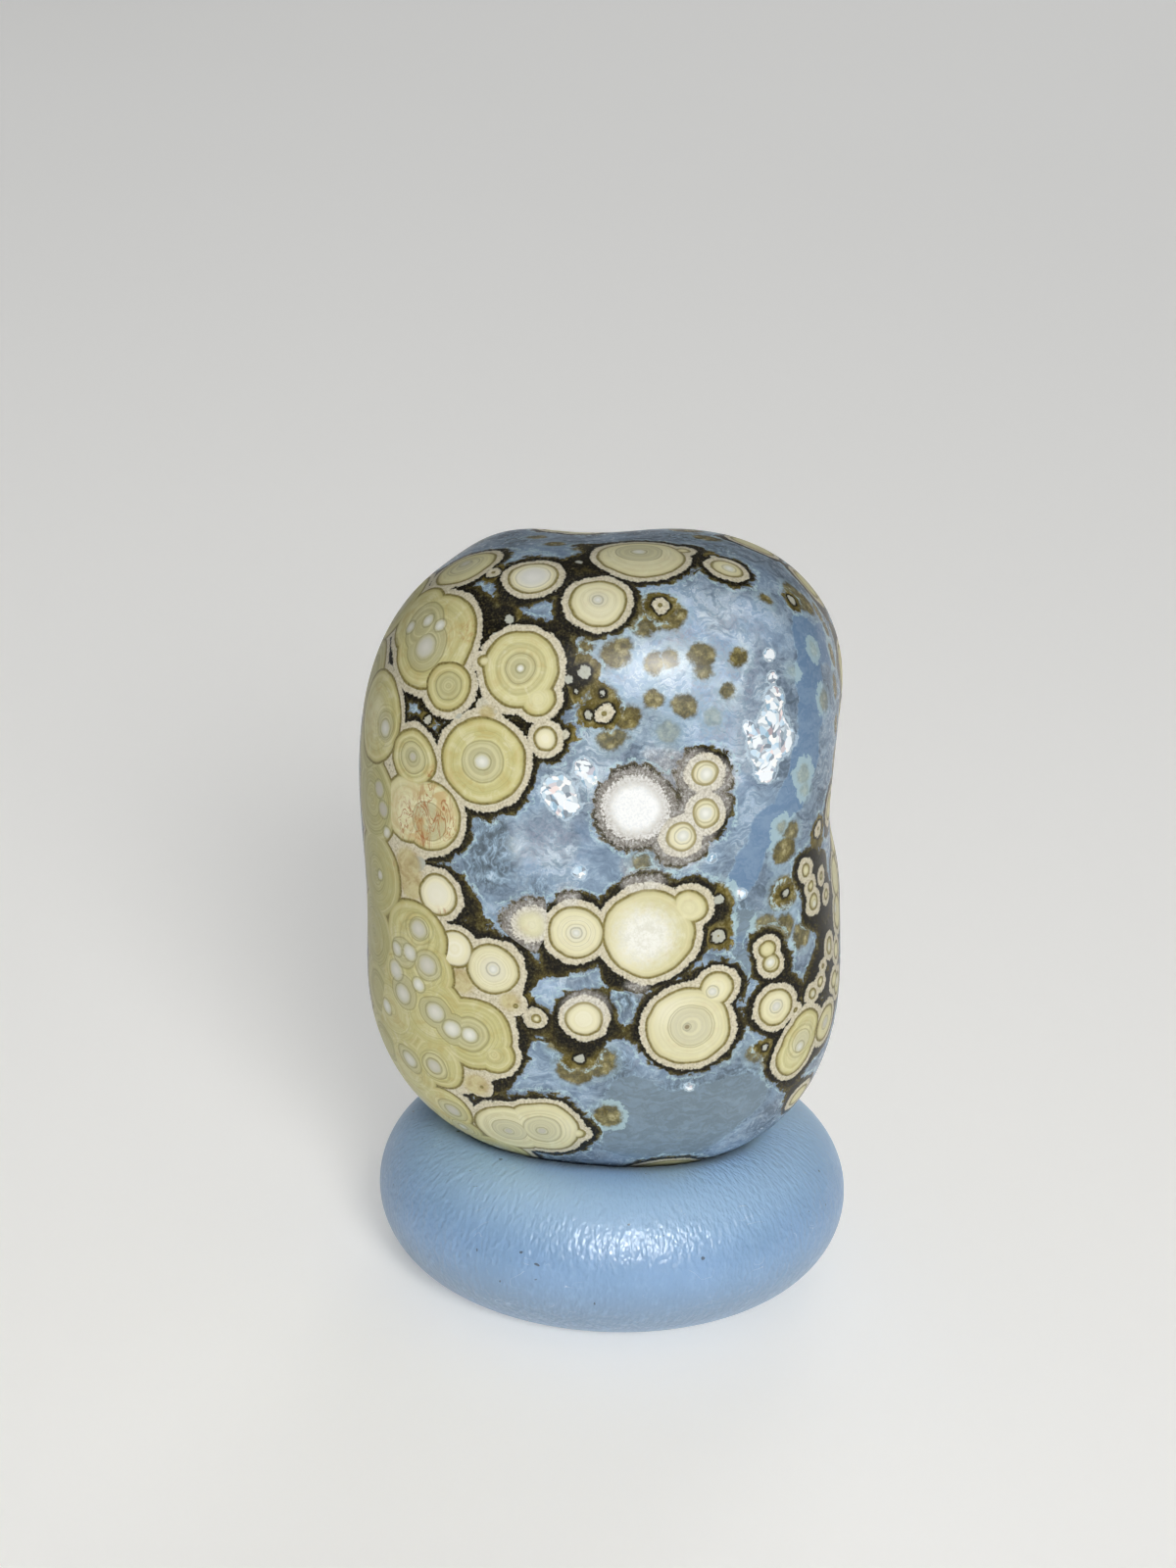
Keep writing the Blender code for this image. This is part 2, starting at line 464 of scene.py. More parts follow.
# fmt: off
FRONT_ORBS = {
    # The low tones of the left edge's orbs partly paint the shade where the light falls off towards that
    # edge.
    "left edge": {
        "temple": (414, 604, 1.5, -0.3), "brow": (392, 640, 2.2, -0.7), "upper": (380, 690, 2.0, -0.8),
        "middle": (376, 760, 2.0, -0.8), "belly": (380, 815, 2.3, -0.8),
    },
    "crown": {
        "far left": (474, 578, 1.58, 0.3), "far left, bud": (504, 584, 0.12, 0.2),
        "second": (544, 588, 1.21, 0.85), "third": (610, 614, 1.34, 0.5), "big": (654, 567, 2.1, 0.45),
        "big, tip": (697, 562, 0.35, 0.45), "right": (742, 580, 0.82, 0.45),
        "right, bump": (728, 568, -0.12, 0.4), "behind": (768, 556, 1.16, 0.2),
    },
    "shoulder": {
        "big": (440, 652, 2.47, 0.05), "big, top": (425, 630, 1.78, 0.05), "small": (457, 700, 1.21, 0.05),
    },
    "twin": {
        "main": (531, 682, 1.83, 0.1), "foot": (549, 713, 0.84, 0.1), "beside it": (494, 675, 0.34, 0.3),
    },
    "left waist": {
        "narrow": (384, 731, 2.3, 0.0), "wide": (421, 773, 1.4, 0.05),
    },
    "target": {
        "whole": (492, 777, 2.08, 0.0), "beside it": (556, 754, 0.58, 0.9),
        "beside it, bump": (576, 750, -0.1, 0.4),
    },
    "red veined": {
        "whole": (436, 832, 1.75, 0.3), "left": (415, 825, 1.7, 0.3),
    },
    "left gap": {
        "grey bud": (427, 882, -0.03, 1.0), "top": (411, 872, -0.1, 0.0), "middle": (414, 893, 0.0, 0.0),
        "foot": (420, 908, -0.05, 0.0), "between the whites": (471, 1001, -0.12, 0.0),
    },
    "whites": {
        "above the mass": (446, 913, 1.05, 0.9), "beside the mass": (464, 969, 0.98, 0.95),
        "pale one": (503, 989, 1.32, 0.6),
    },
    "mass, top": {
        "head": (422, 957, 1.99, -0.25),
    },
    # Here too the low tones partly paint the shade at the left edge.
    "left edge, low": {
        "waist": (384, 890, 2.25, -0.8), "hip": (382, 950, 2.2, -0.8), "foot": (386, 1010, 2.0, -0.8),
        "sole": (394, 1062, 2.0, -0.8),
    },
    "mass": {
        "seam": (404, 990, 1.3, -0.25), "neck": (432, 990, 1.78, -0.25), "left": (400, 1030, 2.21, -0.25),
        "heart": (440, 1035, 2.21, -0.25), "right": (481, 1055, 2.05, -0.25),
        "right foot": (505, 1077, 1.05, -0.25), "lower left": (415, 1085, 2.1, -0.25),
        "lower": (445, 1085, 1.58, -0.25), "foot": (455, 1130, 1.58, 0.0),
    },
    "foot twin": {
        "left": (520, 1153, 1.84, 0.45), "right": (553, 1152, 1.89, 0.45), "tip": (590, 1157, 0.4, 0.3),
    },
    "by the mass": {
        "under it": (492, 1109, 0.1, 0.6), "dot": (526, 1026, 0.14, 0.5), "bud": (547, 1040, 0.26, 0.9),
    },
    "middle": {
        "small": (597, 1040, 0.91, 0.7), "round": (588, 952, 1.32, 0.55),
        "misty": (543, 944, 0.6, 0.2 + FUZZY), "big": (662, 953, 2.21, 0.3),
        "big, ear": (704, 925, 0.86, 0.3),
    },
    "lower": {
        "big": (703, 1048, 2.05, 0.5), "big, ear": (731, 1009, 0.89, 0.6),
    },
    "snowball": {
        "whole": (649, 825, 1.22, 1.0 + FUZZY), "chain, top": (720, 789, 0.66, 0.95),
        "chain, middle": (720, 830, 0.68, 0.9), "chain, foot": (695, 854, 0.7, 0.9),
    },
    "right of the big": {
        "upper": (733, 918, -0.06, 1.0), "lower": (733, 956, 0.06, 0.9),
    },
    "right side": {
        "oval": (784, 969, 0.47, 0.3), "oval, foot": (787, 983, 0.5, 0.5), "egg": (792, 1028, 1.0, 0.55),
        "dot": (812, 1031, 0.14, 0.6), "leaning": (812, 1074, 1.25, 0.1),
        "leaning, middle": (817, 1062, 1.25, 0.1), "leaning, head": (822, 1050, 1.05, 0.1),
    },
    "right edge": {
        "egg": (842, 1044, 0.95, 0.3), "lump": (829, 1014, 0.32, 0.5), "lump, head": (837, 1001, 0.3, 0.5),
        "knob": (838, 990, -0.08, 0.4), "outer": (854, 1003, 0.6, 0.3), "oval": (846, 966, 0.35, 0.4),
        "oval, outer": (853, 968, 0.5, 0.4),
    },
    "right waist": {
        "eyed": (830, 920, 0.42, 0.4), "eyed, head": (827, 905, 0.3, 0.4), "above": (822, 887, 0.38, 0.5),
        "between, low": (843, 912, 0.3, 0.3), "crumb": (846, 962, 0.35, 0.3),
        "crumb, foot": (840, 984, 0.15, 0.4), "crumb, outer": (851, 1000, 0.5, 0.3),
        "between": (838, 893, 0.22, 0.3), "outer": (852, 893, 1.0, 0.3), "outer foot": (854, 930, 0.9, 0.3),
        "rim": (849, 855, 0.9, 0.3), "top": (846, 822, 0.7, 0.4), "knob": (835, 846, 0.1, 0.4),
    },
    "foot": {
        "band": (835, 1090, 0.9, 0.2), "band, low": (815, 1117, 0.7, 0.2),
        "underside": (678, 1190, 1.58, 0.1),
    },
    "grains": {
        "by the crown": (520, 632, -0.08, 1.0), "by the crown, low": (505, 647, -0.2, 1.0),
        "under the crown": (592, 573, -0.16, 1.0), "by the twin": (597, 685, 0.02, 1.0),
        "by the twin, left": (581, 693, -0.1, 1.0), "by the twin, low": (588, 705, -0.2, 1.0),
        "cream": (674, 618, 0.12, 0.8), "yellow": (618, 728, 0.12, 0.4),
        "yellow, left": (601, 729, -0.12, 0.9), "yellow, top": (616, 707, -0.16, 1.0),
        "left crumb": (469, 731, -0.08, 0.9), "left crumb, outer": (437, 735, -0.1, 0.7),
        "left crumb, right": (503, 728, -0.14, 0.6), "left crumb, top": (493, 718, -0.1, 0.3),
        "low": (592, 1080, -0.04, 1.0), "right": (801, 912, -0.12, 1.0),
        "right, low": (781, 1068, -0.18, 1.0), "right, low, outer": (797, 1068, -0.2, 1.0),
        "right crown": (808, 612, 0.0, 0.8),
    },
}
# fmt: on


def named_rows(table):
    """The rows of a table in regions, under full names such as 'crown, big'."""
    return {f"{region}, {name}": row for region, rows in table.items() for name, row in rows.items()}


print(len(named_rows(FRONT_ORBS)), "orbs on the front, of which", len(OVER_ORBS), "lie over others")

# %% [markdown]
# ## Hearts and eyes
# Round its seed an orb is greener, with sharper rings: its heart. The seed itself is often a white bead:
# its eye. Hearts and eyes are smaller spheres with centres of their own, because the seed isn't always in
# the middle.

# %% Hearts: picture x, picture y, radius in mm, tone (0 is grey-green, 1 is white)
# fmt: off
FRONT_HEARTS = {
    "crown": {
        "far left": (474, 577, 0.75, 0.3), "big": (652, 563, 1.1, 0.1), "third": (610, 612, 0.42, 0.65),
        "second": (544, 588, 0.85, 1.0),
    },
    "shoulder": {
        "upper": (432, 638, 1.25, 0.1), "lower": (434, 660, 1.2, 0.1), "small": (457, 700, 0.65, 0.0),
    },
    "left side": {
        "twin": (531, 682, 0.72, 0.1), "waist": (421, 772, 0.75, 0.1), "target": (492, 777, 1.02, 0.15),
        "red veined": (437, 838, 0.9, 0.1), "pale one": (503, 989, 0.62, 0.8),
        "white": (446, 912, 0.62, 1.0),
    },
    "middle": {
        "round": (588, 952, 0.45, 0.8), "lower, big": (706, 1047, 1.0, 0.4),
    },
    "foot twin": {
        "left": (519, 1153, 0.85, 0.25), "right": (553, 1153, 0.95, 0.25),
    },
    "mass": {
        "head": (427, 948, 0.6, 0.2), "beads left": (411, 972, 0.8, 0.2),
        "beads right": (436, 985, 0.8, 0.2), "beads lower": (412, 1012, 0.9, 0.2),
        "chain top": (444, 1033, 0.9, 0.1), "chain middle": (461, 1050, 0.9, 0.1),
        "chain foot": (479, 1056, 0.95, 0.1), "lower left": (418, 1081, 0.8, 0.1),
        "lower": (443, 1088, 0.75, 0.1), "foot": (462, 1133, 0.8, 0.1),
    },
    "edges": {
        "right side, leaning": (818, 1062, 0.6, 0.4), "left waist, narrow": (393, 740, 0.7, 0.2),
    },
}
# fmt: on

print(len(named_rows(FRONT_HEARTS)), "hearts on the front")

# %% Eyes: picture x, picture y, radius in mm, tone (0 is brown, 1 is white)
# fmt: off
FRONT_EYES = {
    "crown": {
        "far left": (475, 575, 0.28, 0.75), "big": (652, 563, 0.33, 0.95), "third": (610, 612, 0.2, 0.9),
        "second": (544, 588, 0.75, 0.9), "right": (744, 580, 0.3, 1.0),
    },
    "shoulder": {
        "first": (419, 640, 0.32, 0.9), "second": (437, 633, 0.33, 0.95), "third": (449, 638, 0.3, 1.0),
        "large": (434, 660, 0.6, 0.8), "edge": (401, 660, 0.4, 0.85), "top edge": (403, 628, 0.35, 0.7),
    },
    "left side": {
        "twin": (531, 682, 0.18, 1.0), "waist": (421, 772, 0.22, 0.6),
        "waist, narrow": (393, 743, 0.4, 0.85), "target": (492, 777, 0.37, 1.0),
    },
    "left edge": {
        "first": (387, 805, 0.42, 0.6), "second": (391, 826, 0.4, 0.6), "third": (395, 850, 0.3, 0.9),
        "fourth": (388, 893, 0.25, 0.8),
    },
    "middle": {
        "pale one": (503, 989, 0.28, 0.95), "round": (588, 952, 0.22, 0.95), "big": (659, 955, 1.5, 0.97),
        "lower, big": (701, 1048, 0.14, 0.0), "lower, ear": (727, 1012, 0.25, 0.9),
    },
    "foot twin": {
        "left": (519, 1154, 0.22, 0.6), "right": (553, 1154, 0.24, 0.6),
    },
    "mass": {
        "head": (427, 948, 0.45, 0.75), "bead 1": (405, 968, 0.35, 0.85), "bead 2": (418, 972, 0.42, 0.9),
        "bead 3": (436, 985, 0.5, 0.75), "bead 4": (404, 990, 0.5, 0.85), "bead 5": (427, 1005, 0.36, 1.0),
        "bead 6": (411, 1014, 0.5, 0.85), "bead 7": (395, 1027, 0.4, 0.95),
        "chain 1": (444, 1033, 0.5, 0.85), "chain 2": (461, 1050, 0.47, 0.95),
        "chain 3": (479, 1056, 0.4, 1.0), "lower left": (418, 1081, 0.46, 0.85),
        "lower": (443, 1088, 0.42, 0.7), "foot": (462, 1133, 0.42, 0.65),
    },
    "right side": {
        "oval": (786, 982, 0.28, 1.0), "egg": (792, 1027, 0.3, 0.85), "leaning": (816, 1068, 0.26, 0.9),
        "edge, lump": (831, 1015, 0.3, 0.95), "edge, egg": (842, 1043, 0.3, 0.7),
        "waist, eyed": (831, 923, 0.2, 1.0), "waist, top": (843, 822, 0.3, 0.8),
        "waist, rim": (845, 850, 0.3, 0.9), "waist, outer foot": (852, 926, 0.3, 0.9),
        "edge, oval": (846, 966, 0.2, 0.9), "edge, outer": (854, 1000, 0.25, 0.9),
    },
    "snowball": {
        "yellow grain": (618, 728, 0.12, 0.95), "chain, top": (721, 790, 0.4, 1.0),
        "chain, middle": (720, 830, 0.4, 1.0), "chain, foot": (697, 853, 0.35, 1.0),
    },
}
# fmt: on
print(len(named_rows(FRONT_EYES)), "eyes on the front")

# %% [markdown]
# ## Moss spots
# In the clear blue agate hang small clouds of olive moss. Some lie deep and show only as pale green ghosts.
# The tone says how deep: 0 lies in the surface, and 1 is far down.

# %% Moss spots: picture x, picture y, radius in mm, tone
# fmt: off
FRONT_SPOTS = {
    "by the twin": {
        "upper": (597, 660, 0.45, 0.0), "lower": (596, 700, 0.5, 0.2),
    },
    "upper row": {
        "first": (628, 668, 0.75, 0.1), "first, upper": (634, 658, 0.5, 0.1),
        "second, left": (667, 676, 0.55, 0.0), "second, right": (684, 673, 0.5, 0.1),
        "third": (717, 668, 0.72, 0.1), "third, tail": (718, 685, 0.48, 0.2),
        "fourth": (754, 672, 0.52, 0.0),
    },
    "lower row": {
        "first": (667, 712, 0.58, 0.05), "second": (698, 720, 0.66, 0.15), "third": (743, 706, 0.42, 0.15),
        "faint ring": (727, 732, 0.5, 0.75), "faint pink": (681, 748, 0.6, 0.7),
    },
    "yellow grain": {
        "round it": (616, 718, 0.85, 0.0), "right": (640, 730, 0.66, 0.0), "below": (622, 756, 0.6, 0.25),
        "below, right": (632, 752, 0.45, 0.3),
    },
    "cream grain": {
        "round it": (662, 625, 1.1, 0.0), "right": (684, 628, 0.8, 0.0), "foot": (655, 636, 0.7, 0.1),
    },
    "crown": {
        "first": (566, 555, 0.6, 0.1), "second": (590, 560, 0.4, 0.3), "rim": (577, 543, 0.8, 0.1),
        "rim, left": (548, 548, 0.6, 0.2), "rim, right": (700, 541, 0.9, 0.0),
        "rim, far right": (722, 549, 0.8, 0.1),
    },
    "right brow": {
        "inner": (782, 612, 0.4, 0.0), "outer": (812, 608, 0.95, 0.2), "rim": (828, 600, 0.6, 0.1),
    },
    "right waist": {
        "by the snowball": (655, 880, 0.5, 0.45), "middle, upper": (800, 868, 0.75, 0.05),
        "top": (806, 850, 0.55, 0.2), "high": (796, 845, 0.35, 0.6), "low": (800, 912, 0.94, 0.0),
        "foot": (818, 955, 0.74, 0.1), "left": (783, 945, 0.68, 0.3), "middle": (801, 945, 0.68, 0.1),
    },
    "right of the big": {
        "head": (733, 915, 0.75, 0.0), "foot": (735, 945, 0.6, 0.05),
    },
    "low": {
        "right": (620, 1140, 0.81, 0.1), "left": (607, 1082, 1.01, 0.15), "middle": (588, 1090, 1.01, 0.1),
        "outer": (570, 1062, 0.6, 0.3), "far right": (770, 1075, 0.55, 0.3),
        "right foot": (790, 1078, 0.8, 0.05),
    },
    "right edge": {
        "brow": (822, 615, 0.8, 0.0), "brow, low": (834, 624, 0.6, 0.05), "first": (843, 642, 0.5, 0.0),
        "second": (849, 668, 0.65, 0.0), "third": (852, 700, 0.6, 0.1), "fourth": (853, 740, 0.6, 0.0),
        "fifth": (851, 775, 0.7, 0.1), "sixth": (848, 800, 0.6, 0.0),
    },
    "ghost": {
        "right": (830, 662, 0.45, 0.85), "bead": (809, 685, 0.3, 0.9), "edge": (841, 715, 0.6, 0.6),
        "long": (820, 790, 0.55, 0.7), "long, foot": (821, 806, 0.4, 0.75), "low": (738, 1075, 0.5, 0.8),
    },
}
# fmt: on
print(len(named_rows(FRONT_SPOTS)), "moss spots on the front")

# %% [markdown]
# ## Zones of the blue agate
# The blue ground isn't even: some of it is milky, some dark and streaked, and in places tiny quartz
# crystals glitter. Each zone is a soft mask, made of round blobs and stored on the mesh's points.

# %% Zones: picture x, picture y, reach in mm, strength
# fmt: off
FRONT_ZONES = {
    "milky": {
        "upper middle": (690, 650, 2.6, 1.0), "upper right": (735, 700, 2.2, 1.0),
        "upper left": (640, 690, 1.8, 0.9), "left of the snowball": (600, 780, 1.6, 0.8),
        "round the chain": (740, 770, 1.6, 1.0), "top right": (755, 630, 1.5, 0.8),
        "left window": (560, 866, 1.5, 1.0), "left window, left": (522, 862, 0.9, 0.8),
        "under the middle": (560, 1000, 1.2, 0.6), "right islands": (815, 960, 0.9, 0.5),
        "by the lower orb": (650, 1075, 0.8, 0.6),
    },
    "dark": {
        "left window": (500, 882, 1.5, 0.8), "left window, right": (550, 905, 0.9, 0.5),
        "left window, top": (500, 845, 1.0, 0.8), "between the orbs": (640, 1015, 0.9, 0.8),
        "under the round orb": (562, 985, 0.8, 0.8), "beside the mass": (532, 1000, 0.6, 0.8),
        "above the foot": (575, 1075, 1.0, 0.8), "above the foot, right": (625, 1085, 1.2, 0.7),
        "below the round orb": (620, 1010, 1.0, 0.6), "crown": (555, 625, 1.0, 0.4),
        "top, left": (530, 551, 1.2, 0.9), "top, middle": (600, 545, 1.2, 0.9),
        "top, right": (700, 548, 1.2, 0.9), "top, far right": (740, 560, 0.9, 0.8),
        "right of the middle": (735, 985, 0.7, 0.6), "right strip": (756, 935, 0.9, 0.8),
        "right strip, foot": (758, 985, 0.9, 0.8), "foot": (690, 1145, 2.9, 1.0),
        "foot, right": (760, 1115, 1.7, 0.9), "foot, left": (620, 1150, 1.6, 0.9),
    },
    "clear": {
        "right, top": (824, 650, 1.3, 1.0), "right, upper": (827, 690, 1.3, 1.0),
        "right, middle": (828, 730, 1.1, 1.0), "right, lower": (823, 770, 1.15, 1.0),
        "right, foot": (812, 808, 1.1, 1.0), "right, edge": (845, 660, 1.4, 1.0),
        "right waist": (786, 845, 1.2, 0.9), "right waist, left": (765, 880, 0.9, 0.7),
        "foot": (700, 1145, 2.6, 1.0), "foot, left": (640, 1160, 1.8, 1.0),
        "foot, right": (755, 1120, 1.7, 1.0), "foot, upper": (640, 1115, 1.2, 0.9),
        "foot, low": (690, 1180, 1.6, 0.9), "right strip, head": (757, 900, 0.9, 0.8),
        "right strip": (758, 945, 0.9, 1.0), "right strip, foot": (760, 990, 0.9, 1.0),
    },
    "druse": {
        "brow": (785, 668, 0.35, 1.0), "brow, lower": (788, 690, 0.3, 1.0),
        "bright, top": (792, 712, 0.55, 1.0), "bright, middle": (785, 735, 0.7, 0.9),
        "bright": (797, 752, 0.85, 1.0), "bright, left": (772, 760, 0.6, 0.9),
        "bright, foot": (782, 786, 0.7, 1.0), "bright, chain": (763, 742, 0.3, 0.9),
        "left lens": (569, 805, 0.75, 1.0), "left lens, foot": (576, 822, 0.7, 0.9),
        "left lens, second": (596, 784, 0.5, 0.9), "left lens, second, foot": (602, 797, 0.3, 0.9),
        "window": (592, 890, 0.35, 0.8), "right strip": (757, 912, 0.35, 0.9),
        "above the big": (727, 876, 0.3, 0.7), "low": (690, 1078, 0.4, 0.9),
        "low, right": (703, 1109, 0.35, 0.7),
    },
    "ash": {
        "snowball": (650, 825, 2.1, 1.0), "snowball, right": (690, 785, 1.3, 1.0),
        "chain": (728, 805, 1.5, 0.9), "chain, foot": (700, 858, 1.4, 0.9),
        "above the middle orb": (655, 893, 1.2, 0.9), "misty": (535, 936, 0.9, 1.0),
        "round orb": (580, 915, 0.8, 0.7), "small orb": (597, 1030, 1.4, 0.8),
        "between": (650, 1010, 0.9, 0.6),
    },
    "ink": {
        "crown, left": (505, 625, 1.1, 1.0), "crown, between": (590, 575, 1.0, 0.9),
        "crown, top": (582, 556, 1.1, 1.0), "crown, top, left": (548, 560, 0.9, 1.0),
        "crown, top, right": (640, 546, 0.8, 1.0), "crown, far right": (706, 560, 0.8, 0.9),
        "between the crown orbs": (575, 640, 0.8, 0.8), "beside the twin": (590, 690, 0.8, 0.8),
        "beside the mass": (490, 930, 0.9, 0.8), "mass side": (532, 1062, 0.5, 0.8),
        "between the middle and the lower orb": (625, 1000, 0.6, 0.8),
        "right of the big": (735, 930, 0.7, 0.8), "right side": (800, 1060, 0.7, 0.9),
        "right waist": (836, 885, 1.2, 1.0), "right waist, low": (838, 945, 1.2, 1.0),
        "right waist, foot": (832, 985, 0.9, 1.0), "right side, head": (797, 1000, 0.7, 0.8),
        "right side, left": (776, 1030, 0.6, 0.8), "right side, foot": (800, 1085, 0.6, 0.8),
        "right foot": (808, 1110, 0.7, 0.8), "under the round orb": (560, 990, 0.8, 0.9),
        "small orb, left": (570, 1065, 0.7, 0.9), "small orb, foot": (600, 1068, 0.7, 0.9),
        "small orb, right": (636, 1055, 0.5, 0.7), "mass gap": (510, 1108, 0.5, 1.0),
        "right waist, edge": (853, 880, 1.0, 1.0), "right waist, edge, low": (853, 935, 1.0, 1.0),
        "right side, edge": (849, 1000, 0.9, 1.0), "right side, edge, low": (842, 1050, 0.8, 0.9),
        "right edge, top": (844, 630, 1.1, 1.0), "right edge, high": (853, 680, 1.1, 1.0),
        "right edge, middle": (856, 740, 1.1, 1.0), "right edge, low": (857, 790, 1.1, 1.0),
    },
    "filled": {
        "left gap": (416, 880, 0.9, 1.0), "left gap, foot": (420, 905, 0.8, 1.0),
        "between the whites": (471, 1001, 0.8, 1.0), "under the mass": (486, 1107, 0.8, 1.0),
        "by the twin": (497, 728, 0.5, 0.9), "beside the mass": (520, 1022, 0.7, 0.8),
    },
    "cream": {
        "lower, big": (682, 1030, 0.9, 0.9), "middle, big": (640, 975, 1.2, 0.9),
        "middle, big, left": (640, 930, 0.8, 0.6), "round orb": (590, 952, 1.0, 0.6),
        "small orb": (597, 1036, 0.9, 0.8), "crown, third": (612, 618, 1.0, 0.5),
        "foot twin": (585, 1150, 0.8, 0.5), "right egg": (793, 1020, 0.5, 0.7),
    },
    "rust": {
        "veins": (426, 842, 1.5, 0.9), "arc": (447, 812, 0.9, 0.8), "above": (446, 793, 0.5, 0.9),
        "right": (460, 845, 0.6, 0.6), "left edge": (410, 882, 0.8, 0.7), "shoulder": (478, 645, 0.8, 0.5),
        "under the white": (453, 934, 0.4, 0.8), "crown": (628, 590, 0.6, 0.3),
    },
}
# fmt: on
print("zones:", {zone: len(blobs) for zone, blobs in FRONT_ZONES.items()})

# %% [markdown]
# ## The sides that the camera doesn't see
# A pebble is as rich behind as in front. The back continues in the same manner, with seeded chance:
# clusters of orbs wrap round from the left and from the right, with clear blue windows between them.

# %% Where behind is crowded with orbs
CHANCE = np.random.default_rng(20)
PLAIN_CROWDING = 0.06  # away from all clusters

# Azimuth and elevation in degrees, spread in degrees, and how crowded it is.
BACK_CLUSTERS = {
    "left wrap": (172, -5, 28, 1.0),
    "back left, high": (128, 32, 18, 0.8),
    "back right, low": (42, -38, 24, 0.9),
    "right wrap": (12, -20, 20, 0.9),
    "back, high right": (58, 42, 16, 0.8),
    "underside": (-60, -78, 26, 0.8),
    "back, low left": (118, -48, 18, 0.7),
}


def crowding(d):
    """How likely an orb is in direction d."""
    total = PLAIN_CROWDING
    for azimuth, elevation, spread, strength in BACK_CLUSTERS.values():
        total += strength * math.exp(-((degrees_apart(d, azimuth, elevation) / spread) ** 2) / 2)
    return min(total, 1.0)


def random_direction():
    d = CHANCE.normal(size=3)
    return d / np.linalg.norm(d)


def facing(place):
    """The cosine between the outward direction and the way to the camera, at a place on the surface."""
    outward = (place - PEBBLE_MIDDLE) / np.array([PEBBLE_HALF_WIDTH, PEBBLE_HALF_DEPTH, PEBBLE_RISE]) ** 2
    sight = np.array(cam_place) - place
    return outward @ sight / (np.linalg.norm(outward) * np.linalg.norm(sight))


print("crowding at the left and straight behind:", [round(crowding(direction(a, 0)), 2) for a in (172, 90)])

# %% Lay down the front, and the orbs that wrap round its edges
# Azimuth, elevation and radius in mm of the single orbs at the right edge.
RIGHT_EDGE = ((8, 52, 0.9), (5, 36, 1.1), (16, 29, 0.5), (3, 15, 0.6), (12, 8, 1.3), (2, 1, 0.5))

# The same for the big joined orbs that the left mass ends in. Each has a heart and an eye.
BACK_MASS = (
    (174, -12, 2.1), (163, -22, 2.0), (159, -7, 1.6), (170, -33, 1.8), (153, -31, 1.3), (172, 7, 1.8),
    (166, 20, 1.5), (150, 6, 0.9), (176, 30, 1.6), (158, 30, 0.8), (155, 50, 2.1), (165, 39, 1.9),
    (-150, -53, 2.1), (-127, -63, 1.7), (-169, 49, 1.9), (-134, -56, 1.2),
)  # fmt: skip


def aimed(table):
    """A table's rows as balls: centre, radius, how it meets those before it, and tone."""
    balls = []
    for name, (x, y, radius, tone) in named_rows(table).items():
        meets = OVER if table is FRONT_ORBS and name in OVER_ORBS else JOINED
        balls.append((*aim(x, y), radius, meets, tone))
    return balls


orbs, hearts, eyes, spots = (aimed(table) for table in (FRONT_ORBS, FRONT_HEARTS, FRONT_EYES, FRONT_SPOTS))
for azimuth, elevation, radius in RIGHT_EDGE:
    orbs.append((*on_pebble(direction(azimuth, elevation))[0], radius, JOINED, 0.1))
for azimuth, elevation, radius in BACK_MASS:
    centre = on_pebble(direction(azimuth, elevation))[0]
    orbs.append((*centre, radius, JOINED, -0.25))
    hearts.append((*centre, radius * 0.5, JOINED, 0.2))
    eyes.append((*centre, radius * 0.2, JOINED, 0.8))
print(len(orbs), "orbs before chance lays more")

# %% Lay down orbs and spots behind, by chance
FACING_LIMIT = 0.10  # the cosine above which a place belongs to the front
OVERLAP = 0.18  # the share of two orbs' radii by which they may overlap
COMPANY = 0.7  # mm: an orb with all others further off than this is a loner
SMALLEST_COUNTED = 0.2  # mm: a smaller orb leaves as much room as one of this radius
BUD_FROM, HEART_FROM = 0.9, 0.6  # mm: from what radius an orb may have a bud, and has a heart and an eye


def has_room(centre, radius, loner_allowed):
    """Whether an orb would hardly overlap the others, and isn't alone where it mustn't be."""
    gaps = [np.linalg.norm(centre - orb[:3]) - (radius + orb[3]) for orb in orbs]
    overlaps = [OVERLAP * (radius + max(orb[3], SMALLEST_COUNTED)) for orb in orbs]
    crowded = any(gap < -overlap for gap, overlap in zip(gaps, overlaps))
    return not crowded and (loner_allowed or min(gaps) <= COMPANY)


def lay_orbs(tries, smallest, largest, loners):
    """Lays orbs behind at random. Loners is the chance that one may lie far from the orbs before it."""
    for attempt in range(tries):
        d, bud = random_direction(), random_direction()
        chance, size, tone, company, *extras = CHANCE.random(7)
        centre = on_pebble(d)[0]
        radius = smallest + (largest - smallest) * size**1.8
        wanted = chance <= crowding(d) and facing(centre) <= FACING_LIMIT
        if not wanted or not has_room(centre, radius, company <= loners):
            continue
        tone = 0.85 * tone**2.5
        orbs.append((*centre, radius, JOINED, tone))
        if radius > BUD_FROM and extras[0] < 0.5:
            edge = on_pebble(centre + bud * radius * 0.9 - PEBBLE_MIDDLE)[0]
            orbs.append((*edge, radius * (0.3 + 0.25 * extras[1]), JOINED, tone))
        if radius > HEART_FROM:
            heart_radius = radius * (0.4 + 0.2 * extras[1])
            eye_radius = min(0.1 + 0.22 * radius * extras[2], 0.5)
            hearts.append((*centre, heart_radius, JOINED, 0.1 + 0.5 * extras[2]))
            eyes.append((*centre, eye_radius, JOINED, 0.6 + 0.4 * extras[0]))


def lay_spots(tries):
    """Lays moss spots behind at random, where orbs are few."""
    for attempt in range(tries):
        d = random_direction()
        chance, size, tone = CHANCE.random(3)
        centre = on_pebble(d)[0]
        if chance >= 1.2 * crowding(d) and facing(centre) <= FACING_LIMIT:
            spots.append((*centre, 0.25 + 0.6 * size**2, JOINED, 0.9 * tone))


